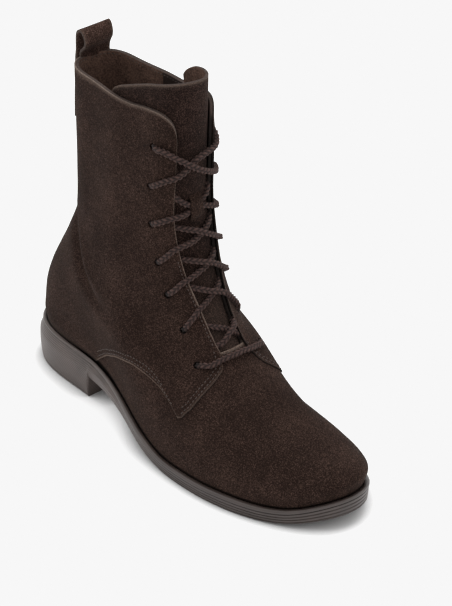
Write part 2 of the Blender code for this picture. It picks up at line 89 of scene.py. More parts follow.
class Skin(Enum):
    """Material slot of the faces of a sheet."""

    OUTER = 0
    INNER = 1
    EDGE = 2


class Edge(Enum):
    """Edge of a quarter, as the sign of the levels on the way in from it."""

    LOWER = 1
    COLLAR = -1


def hermite(t: Array, low: Array, high: Array, low_slope: Array, high_slope: Array) -> Array:
    """Follow a cubic between two values with given slopes.

    Args:
        t: Share of the way, from 0 to 1.
        low: Value at 0.
        high: Value at 1.
        low_slope: Slope at 0.
        high_slope: Slope at 1.

    Returns:
        The values on the way.
    """
    t2 = t * t
    t3 = t2 * t
    return ((2 * t3 - 3 * t2 + 1) * low + (t3 - 2 * t2 + t) * low_slope
            + (3 * t2 - 2 * t3) * high + (t3 - t2) * high_slope)


def smooth(places: Sequence[float], values: Any, at: Array) -> Array:
    """Read a smooth curve through values at given places.

    Args:
        places: Rising places of the values.
        values: One value, or one row of values, for each place.
        at: Places to read, of any shape.

    Returns:
        The values read, in the shape of at with the columns of a row behind it.
    """
    knots = np.asarray(places, float)
    rows = np.asarray(values, float)
    wide = (knots[2:] - knots[:-2]).reshape((-1,) + (1,) * (rows.ndim - 1))
    slope = np.empty_like(rows)
    slope[1:-1] = (rows[2:] - rows[:-2]) / wide
    slope[0] = (rows[1] - rows[0]) / (knots[1] - knots[0])
    slope[-1] = (rows[-1] - rows[-2]) / (knots[-1] - knots[-2])
    at = np.asarray(at, float)
    k = np.clip(np.searchsorted(knots, at) - 1, 0, len(knots) - 2)
    span = knots[k + 1] - knots[k]
    t = (at - knots[k]) / span
    if rows.ndim > 1:
        span = span[..., None]
        t = t[..., None]
    return hermite(t, rows[k], rows[k + 1], slope[k] * span, slope[k + 1] * span)


def curve(rows: Rows, at: Array) -> Array:
    """Read a smooth curve through rows of (place, value).

    Args:
        rows: Places and values.
        at: Places to read.

    Returns:
        The values read.
    """
    return smooth([row[0] for row in rows], [row[1] for row in rows], at)


def width_at(widths: Array, share: Array) -> Array:
    """Read widths given at even stations.

    Args:
        widths: Widths at the stations for each place, in the last axis.
        share: Share of the length from back to front for each place.

    Returns:
        The width at each place.
    """
    slope = np.gradient(widths, axis=-1)
    spans = widths.shape[-1] - 1
    k = np.clip(np.ceil(share * spans).astype(int) - 1, 0, spans - 1)

    def pick(rows: Array, index: Array) -> Array:
        """Value of each row at an index."""
        return np.take_along_axis(rows, index[..., None], -1)[..., 0]

    return hermite(share * spans - k, pick(widths, k), pick(widths, k + 1), pick(slope, k),
                   pick(slope, k + 1))


def unit(vectors: Array) -> Array:
    """Vectors of length one along the last axis."""
    return vectors / np.maximum(np.linalg.norm(vectors, axis=-1, keepdims=True), 1e-9)


def run_length(points: Array, axis: int = 0) -> Array:
    """Measure lines of points from their first point.

    Args:
        points: Places, with x, y and z in the last axis.
        axis: Axis that follows the lines.

    Returns:
        The length run at each point.
    """
    steps = np.linalg.norm(np.diff(points, axis=axis), axis=-1)
    return np.concatenate([np.zeros_like(steps.take([0], axis)), steps.cumsum(axis)], axis)


def read_along(length: Array, rows: Array, at: Array | float) -> Array:
    """Rows of numbers along a line, read straight between its points at given lengths."""
    return np.stack([np.interp(at, length, column) for column in rows.T], -1)


@dataclass(frozen=True)
class Ring:
    """Section of the last with its ends as (x, z) and its widths at five stations from back to front."""

    along: float
    back: tuple[float, float]
    front: tuple[float, float]
    follow: float
    lateral: tuple[float, ...]
    medial: tuple[float, ...]


@dataclass(frozen=True)
class Crease:
    """Soft trough along places of (degrees, level); a negative depth makes a ridge."""

    line: Rows
    depth: float
    width: float


RINGS = (
    Ring(0.0, (-132, 28.4), (132.5, 20.7), 1.0, (46, 29, 42, 50.5, 52), (46, 29, 27.5, 46, 53)),
    Ring(1.1, (-130.5, 41), (134, 29.6), 0.9, (44, 30, 43, 50.5, 53), (44, 30, 30, 45, 58.3)),
    Ring(2.4, (-129, 55), (126.5, 35), 0.6, (41.5, 32, 42.5, 46.5, 50.5), (41.5, 32, 33, 34, 52.2)),
    Ring(4.3, (-124, 69), (103, 41), 0.3, (38, 33, 40, 41, 43), (38, 33, 34.7, 28, 34.6)),
    Ring(7.1, (-116, 84), (66.2, 54), 0.1, (34, 33, 37, 35, 33), (34, 33, 33, 35, 28)),
    Ring(10.0, (-106.5, 101), (32, 72), 0.0, (31, 31, 32, 31, 32), (31, 31, 30, 32, 30)),
    Ring(13.1, (-98, 121), (10.5, 106), 0.0, (28, 27, 28, 29, 33), (28, 27, 28, 28, 33)),
    Ring(16.6, (-96, 150), (1.5, 146), 0.0, (29, 22.8, 24, 26, 33), (29, 23, 24, 26, 34)),
    Ring(19.9, (-96, 182), (2, 180), 0.0, (30, 21.3, 22, 24, 33), (30, 21.5, 22, 24, 34)),
    Ring(23.1, (-96, 214.5), (3.5, 212), 0.0, (31, 20.8, 20.5, 22.5, 33), (31, 21, 20.5, 22.5, 34)),
    Ring(26.3, (-96, 247), (4.5, 244), 0.0, (31, 20.8, 20.5, 22.5, 33), (31, 21, 20.5, 22.5, 34)),
)
RIM = ((-136, 28), (-68, 26.5), (-27, 23), (14, 10), (41, 9), (68, 9.5), (109, 11.5), (136, 21.5))
CREASES = (
    Crease(((-152, 5.95), (-141, 5.68), (-127, 5.2), (-117, 4.65), (-107, 4.3), (-97, 4.25)), 3.6, 5.5),
    Crease(((-146, 6.06), (-128.5, 5.58), (-118, 5.14), (-110, 4.74), (-104, 4.46)), -1.7, 5.0),
    Crease(((-60, 5.52), (-55, 5.32), (-51, 5.06)), 0.55, 2.6),
    Crease(((-64, 5.36), (-58, 5.18), (-54, 4.95)), 0.45, 2.4),
    Crease(((-62, 5.44), (-56.5, 5.25), (-52.5, 5.0)), -0.4, 2.2),
    Crease(((-30, 3.1), (0, 3.35), (30, 3.1)), 0.5, 7.0),
    Crease(((152, 5.95), (134, 5.45), (117, 4.65), (102, 4.3)), 2.0, 7.0),
)


@dataclass
class Last:
    """Form of the boot that all its pieces follow."""

    rings: tuple[Ring, ...] = RINGS
    rim: Rows = RIM
    creases: tuple[Crease, ...] = CREASES
    angle_step: float = 0.01
    level_step: float = 0.02
    flat_level: float = 0.001
    crease_points: int = 40
    crease_fade: float = 0.08
    shift: Array = field(default_factory=lambda: np.zeros(3))

    def rim_height(self, x: Array) -> Array:
        """Height of the sole's top edge at x."""
        return curve(self.rim, np.clip(x, self.rim[0][0], self.rim[-1][0]))

    def form(self, angle: Array, level: Array) -> Array:
        """Point of the plain form.

        Args:
            angle: Angle from the front in radians.
            level: Ring level.

        Returns:
            Points in millimetres, with x, y and z in the last axis.
        """
        angle, level = np.broadcast_arrays(np.asarray(angle, float), np.asarray(level, float))
        along = np.array([ring.along for ring in self.rings])
        low = np.clip(level.astype(int), 0, len(along) - 2)
        place = along[low] + (along[low + 1] - along[low]) * (level - low)
        ends = smooth(along, [(*ring.back, *ring.front) for ring in self.rings], place)
        x_back, z_back, x_front, z_front = np.moveaxis(ends, -1, 0)
        follow = np.clip(smooth(along, [ring.follow for ring in self.rings], place), 0, 1)
        lateral = smooth(along, [ring.lateral for ring in self.rings], place)
        medial = smooth(along, [ring.medial for ring in self.rings], place)
        share = (1 + np.cos(angle)) / 2
        x = x_back + (x_front - x_back) * share
        widths = np.where((angle > 0)[..., None], medial, lateral)
        y = width_at(widths, share) * np.sin(angle)
        line = z_back + (z_front - z_back) * share
        lift_back = z_back - self.rim_height(x_back)
        lift_front = z_front - self.rim_height(x_front)
        low_line = self.rim_height(x) + lift_back + (lift_front - lift_back) * share
        return np.stack([x, y, line + (low_line - line) * follow], -1)

    def normal(self, angle: Array, level: Array) -> Array:
        """Outward direction of the plain form, held flat at its lower edge.

        Args:
            angle: Angle from the front in radians.
            level: Ring level.

        Returns:
            Directions of length one.
        """
        angle, level = np.broadcast_arrays(np.asarray(angle, float), np.asarray(level, float))
        across = self.form(angle + self.angle_step, level) - self.form(angle - self.angle_step, level)
        low = np.maximum(level - self.level_step, 0)
        along = self.form(angle, level + self.level_step) - self.form(angle, low)
        normal = np.cross(across, along)
        normal[..., 2] = np.where(level < self.flat_level, 0.0, normal[..., 2])
        return unit(normal)

    def dent(self, points: Array) -> Array:
        """Depth of the creases, which fade towards their ends.

        Args:
            points: Points of the plain form.

        Returns:
            Depth at each point.
        """
        total = np.zeros(points.shape[:-1])
        share = np.linspace(0, 1, self.crease_points)
        fade = np.sin(np.pi * (self.crease_fade + (1 - 2 * self.crease_fade) * share))
        for crease in self.creases:
            places = smooth(np.linspace(0, 1, len(crease.line)), crease.line, share)
            line = self.form(np.radians(places[:, 0]), places[:, 1])
            gap = np.linalg.norm(points[..., None, :] - line, axis=-1)
            total += crease.depth * fade[gap.argmin(-1)] * np.exp(-(gap.min(-1) / crease.width) ** 2)
        return total

    def on(self, angle: Array, level: Array, out: Array | float) -> Array:
        """Point at a distance out from the creased surface.

        Args:
            angle: Angle from the front in radians.
            level: Ring level.
            out: Distance out in millimetres.

        Returns:
            Points in millimetres.
        """
        base = self.form(angle, level)
        reach = np.asarray(out - self.dent(base))
        return base + self.normal(angle, level) * reach[..., None]

    def metres(self, points: Array) -> Array:
        """Points in metres in the frame of the solids."""
        return (points + self.shift) * MM


@dataclass(frozen=True)
class Grain:
    """Noise of a finish: size of its grains in millimetres, detail, weight in the tone and in the bump."""

    size: float
    detail: float
    weight: float = 1.0
    rise: float = 1.0


class Value:
    """Number socket of a shader that takes part in sums."""

    def __init__(self, shader: Shader, socket: bpy.types.NodeSocket) -> None:
        """Keep the shader and the socket."""
        self.shader = shader
        self.socket = socket

    def _math(self, operation: str, *terms: Value | float) -> Value:
        """Add a Math node of these terms and return its result."""
        node = self.shader.node("ShaderNodeMath", {"operation": operation}, dict(enumerate(terms)))
        return Value(self.shader, node.outputs[0])

    def __add__(self, other: Value | float) -> Value:
        """Sum."""
        return self._math("ADD", self, other)

    __radd__ = __add__

    def __sub__(self, other: Value | float) -> Value:
        """Difference."""
        return self._math("SUBTRACT", self, other)

    def __rsub__(self, other: float) -> Value:
        """Difference from a number."""
        return self._math("SUBTRACT", other, self)

    def __mul__(self, other: Value | float) -> Value:
        """Product."""
        return self._math("MULTIPLY", self, other)

    __rmul__ = __mul__

    def sine(self) -> Value:
        """Sine."""
        return self._math("SINE", self)

    def between(self, low: float, high: float) -> Value:
        """Share of the way between two numbers, kept from 0 to 1.

        Args:
            low: Number that gives 0.
            high: Number that gives 1.

        Returns:
            The share.
        """
        node = self.shader.node("ShaderNodeMapRange", {"clamp": True},
                                {0: self, 1: low, 2: high, 3: 0.0, 4: 1.0})
        return Value(self.shader, node.outputs[0])


class Shader:
    """Material whose nodes are added one at a time."""

    def __init__(self, name: str) -> None:
        """Start a material with one Principled surface.

        Args:
            name: Name of the material.
        """
        self.material = bpy.data.materials.new(name)
        self.material.use_nodes = True
        self.tree = self.material.node_tree
        self.surface = self.tree.nodes["Principled BSDF"]
        self.coords = self.node("ShaderNodeTexCoord", {}, {}).outputs["Object"]

    def node(self, kind: str, settings: dict[str, Any], inputs: dict[str | int, Any]) -> bpy.types.Node:
        """Add a node.

        Args:
            kind: Type name of the node.
            settings: Properties to set first.
            inputs: Values or links of its sockets.

        Returns:
            The node.
        """
        made = self.tree.nodes.new(kind)
        for key, value in settings.items():
            setattr(made, key, value)
        for key, value in inputs.items():
            self.feed(made.inputs[key], value)
        return made

    def feed(self, socket: bpy.types.NodeSocket, value: Any) -> None:
        """Link a socket or set its value.

        Args:
            socket: Socket to feed.
            value: Value, socket or plain setting.
        """
        if isinstance(value, Value):
            self.tree.links.new(value.socket, socket)
        elif isinstance(value, bpy.types.NodeSocket):
            self.tree.links.new(value, socket)
        else:
            socket.default_value = value

    def noise(self, grain: Grain) -> Value:
        """Add noise on Object coordinates.

        Args:
            grain: Size and detail of the noise.

        Returns:
            The noise, without the weights of the grain.
        """
        node = self.node("ShaderNodeTexNoise", {"noise_dimensions": "3D"},
                         {"Vector": self.coords, "Scale": 1 / (grain.size * MM), "Detail": grain.detail})
        return Value(self, node.outputs[0])

    def place(self, axis: str) -> Value:
        """Object coordinate along an axis in millimetres."""
        return Value(self, self.node("ShaderNodeSeparateXYZ", {}, {0: self.coords}).outputs[axis]) * (1 / MM)

    def attribute(self, name: str) -> Value:
        """Number stored with the vertices."""
        return Value(self, self.node("ShaderNodeAttribute", {"attribute_name": name}, {}).outputs["Fac"])

    def mix(self, share: Value | float, low: Any, high: Any) -> bpy.types.NodeSocket:
        """Mix two colours.

        Args:
            share: Share of the second colour.
            low: First colour or its socket.
            high: Second colour or its socket.

        Returns:
            Socket of the mixed colour.
        """
        ends = [(*end, 1.0) if isinstance(end, tuple) else end for end in (low, high)]
        node = self.node("ShaderNodeMix", {"data_type": "RGBA"}, {0: share, 6: ends[0], 7: ends[1]})
        return node.outputs[2]

    def bump(self, height: Value, distance: float, strength: float = 1.0) -> bpy.types.NodeSocket:
        """Add a bump.

        Args:
            height: Height from 0 to 1.
            distance: Full rise in millimetres.
            strength: Strength of the bump.

        Returns:
            Socket of the normal.
        """
        node = self.node("ShaderNodeBump", {},
                         {"Strength": strength, "Distance": distance * MM, "Height": height})
        return node.outputs[0]

    def finish(self, **sockets: Any) -> bpy.types.Material:
        """Feed the sockets of the surface.

        Args:
            sockets: Values by socket name, with underscores for spaces.

        Returns:
            The material.
        """
        for name, value in sockets.items():
            if isinstance(value, tuple):
                value = (*value, 1.0)
            self.feed(self.surface.inputs[name.replace("_", " ")], value)
        return self.material


@dataclass(frozen=True)
class Suede:
    """Napped leather with mottled tone, fine fibres, paler brushed edges and painted shade where the number
    called shade says.
    """

    dark: Colour = (0.0122, 0.0068, 0.0052)
    light: Colour = (0.069, 0.0408, 0.0316)
    brushed: Colour = (0.21, 0.155, 0.125)
    nap: Grain = Grain(26.0, 3.0, 0.32)
    patch: Grain = Grain(7.0, 2.0, 0.12, 0.4)
    tuft: Grain = Grain(1.3, 1.0, 0.25, 0.5)
    fibre: Grain = Grain(0.54, 1.0, 1.2, 0.8)
    tone_span: Span = (0.92, 1.245)
    worn_span: Span = (0.3, 0.7)
    worn_least: float = 0.4
    worn_more: float = 0.5

    def material(self, name: str) -> bpy.types.Material:
        """Make the material.

        Args:
            name: Name of the material.

        Returns:
            The material.
        """
        shader = Shader(name)
        nap = shader.noise(self.nap)
        patch = shader.noise(self.patch)
        tuft = shader.noise(self.tuft)
        fibre = shader.noise(self.fibre)
        tone = (nap * self.nap.weight + patch * self.patch.weight + tuft * self.tuft.weight
                + fibre * self.fibre.weight)
        colour = shader.mix(tone.between(*self.tone_span), self.dark, self.light)
        worn = fibre.between(*self.worn_span) * self.worn_more + self.worn_least
        colour = shader.mix(shader.attribute("edge") * worn, colour, self.brushed)
        # Painted shade from the number called shade, in the gaps by the sole, at the throat and at the
        # keeper's slits.
        colour = shader.mix(shader.attribute("shade"), colour, SHADOW)
        height = fibre * self.fibre.rise + tuft * self.tuft.rise + patch * self.patch.rise
        return shader.finish(
            Base_Color=colour, Roughness=0.95, Normal=shader.bump(height, distance=0.7, strength=0.8),
            Specular_IOR_Level=0.06, Sheen_Weight=0.03, Sheen_Roughness=0.4,
            Sheen_Tint=(0.9, 0.68, 0.58),
        )


@dataclass(frozen=True)
class CutEdge:
    """Raw cut edge of the leather, darkened by the number called rim."""

    dark: Colour = (0.105, 0.077, 0.062)
    light: Colour = (0.27, 0.207, 0.170)
    fibre: Grain = Grain(0.9, 3.0)
    tone_span: Span = (0.3, 0.7)

    def material(self, name: str) -> bpy.types.Material:
        """Make the material.

        Args:
            name: Name of the material.

        Returns:
            The material.
        """
        shader = Shader(name)
        fibre = shader.noise(self.fibre)
        colour = shader.mix(fibre.between(*self.tone_span), self.dark, self.light)
        # The number called rim is painted shade on the throat edges of the wall and the inner quarter;
        # elsewhere it only makes the edge darker.
        colour = shader.mix(shader.attribute("rim"), colour, SHADOW)
        return shader.finish(Base_Color=colour, Roughness=0.9, Specular_IOR_Level=0.2,
                             Normal=shader.bump(fibre, distance=0.3, strength=0.6))


@dataclass(frozen=True)
class Lining:
    """Warm brown lining, with a smooth dark facing beside the throat."""

    dark: Colour = (0.036, 0.0190, 0.0130)
    light: Colour = (0.140, 0.081, 0.059)
    facing: Colour = (0.020, 0.013, 0.011)
    nap: Grain = Grain(8.0, 3.0, 0.4)
    fibre: Grain = Grain(1.0, 3.0, 0.8)
    tone_span: Span = (0.42, 0.85)
    facing_span: Span = (0.4, 0.6)
    rough: float = 0.95
    facing_smooth: float = 0.45
    facing_flat: float = 0.8

    def material(self, name: str) -> bpy.types.Material:
        """Make the material.

        Args:
            name: Name of the material.

        Returns:
            The material.
        """
        shader = Shader(name)
        nap = shader.noise(self.nap)
        fibre = shader.noise(self.fibre)
        tone = nap * self.nap.weight + fibre * self.fibre.weight
        colour = shader.mix(tone.between(*self.tone_span), self.dark, self.light)
        strip = shader.attribute("facing").between(*self.facing_span)
        colour = shader.mix(strip, colour, self.facing)
        height = fibre * (1 - strip * self.facing_flat)
        return shader.finish(Base_Color=colour, Roughness=self.rough - strip * self.facing_smooth,
                             Specular_IOR_Level=0.25,
                             Normal=shader.bump(height, distance=0.6, strength=0.7))


@dataclass(frozen=True)
class Rubber:
    """Satin moulded rubber, with painted shade over the forepart and in its gaps and grooves, and fine lines
    round the heel with painted shade in their troughs.
    """

    dark: Colour = (0.047, 0.0335, 0.0288)
    light: Colour = (0.080, 0.0585, 0.0510)
    cloud: Grain = Grain(14.0, 3.0)
    grain: Grain = Grain(0.6, 2.0, rise=0.25)
    tone_span: Span = (0.3, 0.75)
    heel_span: Span = (-66.0, -60.0)
    fore_span: Span = (-50.0, 30.0)
    painted_fore_shade: float = 0.36
    line_pitch: float = 1.15
    painted_line_shade: float = 0.22
    line_rise: float = 0.7
    rough: float = 0.36
    rough_span: Span = (0.2, 0.9)
    rough_more: float = 0.14

    def material(self, name: str) -> bpy.types.Material:
        """Make the material.

        Args:
            name: Name of the material.

        Returns:
            The material.
        """
        shader = Shader(name)
        cloud = shader.noise(self.cloud)
        grain = shader.noise(self.grain)
        x = shader.place("X")
        colour = shader.mix(cloud.between(*self.tone_span), self.dark, self.light)
        # Painted shade in the gap under the upper and in the groove lines, from the number called shade.
        colour = shader.mix(shader.attribute("shade"), colour, PAINTED_RUBBER_SHADE)
        # Painted shade, darker towards the forepart.
        colour = shader.mix(x.between(*self.fore_span) * self.painted_fore_shade, colour, PAINTED_RUBBER_SHADE)
        wave = (shader.place("Z") * (2 * math.pi / self.line_pitch)).sine()
        lines = wave * (1 - x.between(*self.heel_span))
        # Painted shade in the troughs of the fine lines round the heel.
        colour = shader.mix(lines.between(0.0, 1.0) * self.painted_line_shade, colour, PAINTED_RUBBER_SHADE)
        height = lines * self.line_rise + grain * self.grain.rise
        return shader.finish(Base_Color=colour, Specular_IOR_Level=0.45,
                             Roughness=cloud.between(*self.rough_span) * self.rough_more + self.rough,
                             Normal=shader.bump(height, distance=0.16, strength=0.8))


@dataclass(frozen=True)
class Braid:
    """Round braided cord, with painted shade between its plaits and where it slips into an eyelet."""

    dark: Colour = (0.0050, 0.0027, 0.0023)
    light: Colour = (0.066, 0.0362, 0.0300)
    fibre: Grain = Grain(0.5, 2.0, 0.5)
    tone_span: Span = (0.25, 1.2)

    def material(self, name: str) -> bpy.types.Material:
        """Make the material.

        Args:
            name: Name of the material.

        Returns:
            The material.
        """
        shader = Shader(name)
        fibre = shader.noise(self.fibre)
        tone = shader.attribute("plait") + fibre * self.fibre.weight
        colour = shader.mix(tone.between(*self.tone_span), self.dark, self.light)
        return shader.finish(Base_Color=colour, Roughness=0.85, Specular_IOR_Level=0.25,
                             Sheen_Weight=0.05, Sheen_Roughness=0.5, Sheen_Tint=(0.8, 0.62, 0.58),
                             Normal=shader.bump(fibre, distance=0.25, strength=0.6))


@dataclass(frozen=True)
class Thread:
    """Sewing thread."""

    dark: Colour = (0.026, 0.017, 0.0135)
    light: Colour = (0.070, 0.049, 0.040)
    twist: Grain = Grain(0.7, 1.0)
    tone_span: Span = (0.3, 0.7)

    def material(self, name: str) -> bpy.types.Material:
        """Make the material.

        Args:
            name: Name of the material.

        Returns:
            The material.
        """
        shader = Shader(name)
        twist = shader.noise(self.twist)
        colour = shader.mix(twist.between(*self.tone_span), self.dark, self.light)
        return shader.finish(Base_Color=colour, Roughness=0.6, Specular_IOR_Level=0.4,
                             Normal=shader.bump(twist, distance=0.1, strength=0.5))


@dataclass
class Palette:
    """Materials of the boot, made once."""

    suede: bpy.types.Material
    edge: bpy.types.Material
    lining: bpy.types.Material
    facing: bpy.types.Material
    rubber: bpy.types.Material
    braid: bpy.types.Material
    thread: bpy.types.Material
    # Darker suede of the tongue, painted shade for where it lies behind the quarters.
    tongue: bpy.types.Material
    # Lighter suede of the pull strap, painted light on its front.
    strap: bpy.types.Material

    @classmethod
    def mixed(cls) -> Palette:
        """Make every finish, in the order of the fields.

        Returns:
            The palette.
        """
        finishes = {
            "suede": Suede(),
            "cut_edge": CutEdge(),
            "lining": Lining(),
            # Darker cut edge of the facing; on the inner quarter and the pull strap its darkness is painted
            # shade.
            "facing_edge": CutEdge(dark=(0.022, 0.0145, 0.0115), light=(0.070, 0.050, 0.042)),
            "rubber": Rubber(),
            "braid": Braid(),
            "thread": Thread(),
            # Darker copy of the suede, as painted shade on the tongue behind the quarters.
            "painted_shade_tongue_suede": Suede(dark=(0.0082, 0.0047, 0.0038), light=(0.060, 0.0345, 0.0275)),
            # Lighter copy of the suede, as painted light on the front of the pull strap.
            "painted_light_strap_suede": Suede(dark=(0.0230, 0.0131, 0.0102), light=(0.125, 0.0725, 0.0570)),
        }
        return cls(*(finish.material(name) for name, finish in finishes.items()))


def link(name: str, data: bpy.types.ID) -> bpy.types.Object:
    """Put an object in the scene.

    Args:
        name: Name of the object.
        data: Mesh, camera or light that it shows.

    Returns:
        The object.
    """
    item = bpy.data.objects.new(name, data)
    bpy.context.scene.collection.objects.link(item)
    return item


def make_object(name: str, work: bmesh.types.BMesh, materials: Sequence[bpy.types.Material] = (),
                soft: bool = True) -> bpy.types.Object:
    """Make an object of a mesh under way and free the mesh.

    Args:
        name: Name of the object.
        work: Mesh under way.
        materials: Materials in the order of their slots.
        soft: Whether its faces are shaded smooth.

    Returns:
        The object, in the scene.
    """
    data = bpy.data.meshes.new(name)
    for face in work.faces:
        face.smooth = soft
    work.to_mesh(data)
    work.free()
    for material in materials:
        data.materials.append(material)
    return link(name, data)


@dataclass
class Sheet:
    """Mesh under way, made of flat grids whose points are then put in place."""

    last: Last
    names: tuple[str, ...] = ()

    def __post_init__(self) -> None:
        """Start an empty mesh with a map and the named numbers."""
        self.work = bmesh.new()
        self.work.loops.layers.uv.new("UVMap")
        self.layers = {name: self.work.verts.layers.float.new(name) for name in self.names}

    def add(self, points: Array, **numbers: Array) -> None:
        """Add a grid.

        Args:
            points: Places in millimetres, by row and column.
            numbers: Values of the named numbers at the points.
        """
        rows, columns = points.shape[:2]
        made = bmesh.ops.create_grid(self.work, x_segments=columns - 1, y_segments=rows - 1, size=0.5,
                                     calc_uvs=True)
        for vert, place in zip(made["verts"], self.last.metres(points).reshape(-1, 3)):
            vert.co = place
        for name, values in numbers.items():
            layer = self.layers[name]
            for vert, value in zip(made["verts"], np.broadcast_to(values, points.shape[:2]).ravel()):
                vert[layer] = float(value)

    def weld(self, outward: bool = False) -> None:
        """Merge points that meet.

        Args:
            outward: Whether the mesh is closed and its faces are to point outwards.
        """
        bmesh.ops.remove_doubles(self.work, verts=self.work.verts, dist=WELD)
        bmesh.ops.dissolve_degenerate(self.work, edges=self.work.edges, dist=WELD)
        if outward:
            bmesh.ops.recalc_face_normals(self.work, faces=self.work.faces)

    def turn(self) -> None:
        """Turn every face round."""
        bmesh.ops.reverse_faces(self.work, faces=self.work.faces)

    def crisp(self, degrees: float) -> None:
        """Keep edges that bend more than an angle crisp."""
        for edge in self.work.edges:
            edge.smooth = edge.calc_face_angle(0.0) < math.radians(degrees)

    def piece(self, name: str, *materials: bpy.types.Material) -> bpy.types.Object:
        """Make the object of the mesh, with its materials in the order of their slots."""
        return make_object(name, self.work, materials)


def thicken(item: bpy.types.Object, thickness: float, offset: float, rounding: float) -> None:
    """Give a sheet its thickness, with slots for its inside and its edge.

    Args:
        item: Open sheet.
        thickness: Thickness in millimetres.
        offset: Place of the thickness, -1 inwards, 0 about the sheet.
        rounding: Radius of its edges in millimetres.
    """
    wall = item.modifiers.new("thickness", "SOLIDIFY")
    wall.thickness = thickness * MM
    wall.offset = offset
    wall.material_offset = Skin.INNER.value
    wall.material_offset_rim = Skin.EDGE.value
    bevel = item.modifiers.new("edges", "BEVEL")
    bevel.width = rounding * MM
    bevel.segments = ROUND_SEGMENTS
    bevel.profile = 0.5
    bevel.limit_method = "ANGLE"
    bevel.angle_limit = math.radians(ROUND_ANGLE)


def settle(item: bpy.types.Object) -> None:
    """Apply the modifiers of a piece.

    Args:
        item: Piece with modifiers.
    """
    graph = bpy.context.evaluated_depsgraph_get()
    data = bpy.data.meshes.new_from_object(item.evaluated_get(graph), preserve_all_data_layers=True,
                                           depsgraph=graph)
    item.modifiers.clear()
    plain = item.data
    item.data = data
    bpy.data.meshes.remove(plain)


def register(item: bpy.types.Object, slot: str, *nodes: str) -> None:
    """Tie a piece to the body and hide the solids that it stands for.

    Args:
        item: Piece.
        slot: Name of a material slot; not used.
        nodes: Solids that it takes the place of.
    """
    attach(item, BODY)
    if nodes:
        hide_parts(*nodes)
    LOG.info("%s: %d faces", item.name, len(item.data.polygons))


@dataclass(frozen=True)
class SoleRow:
    """Row down the sole's side: depth under the rim, share of the rest, and inset at forepart and heel."""

    depth: float
    share: float
    fore: float
    heel: float


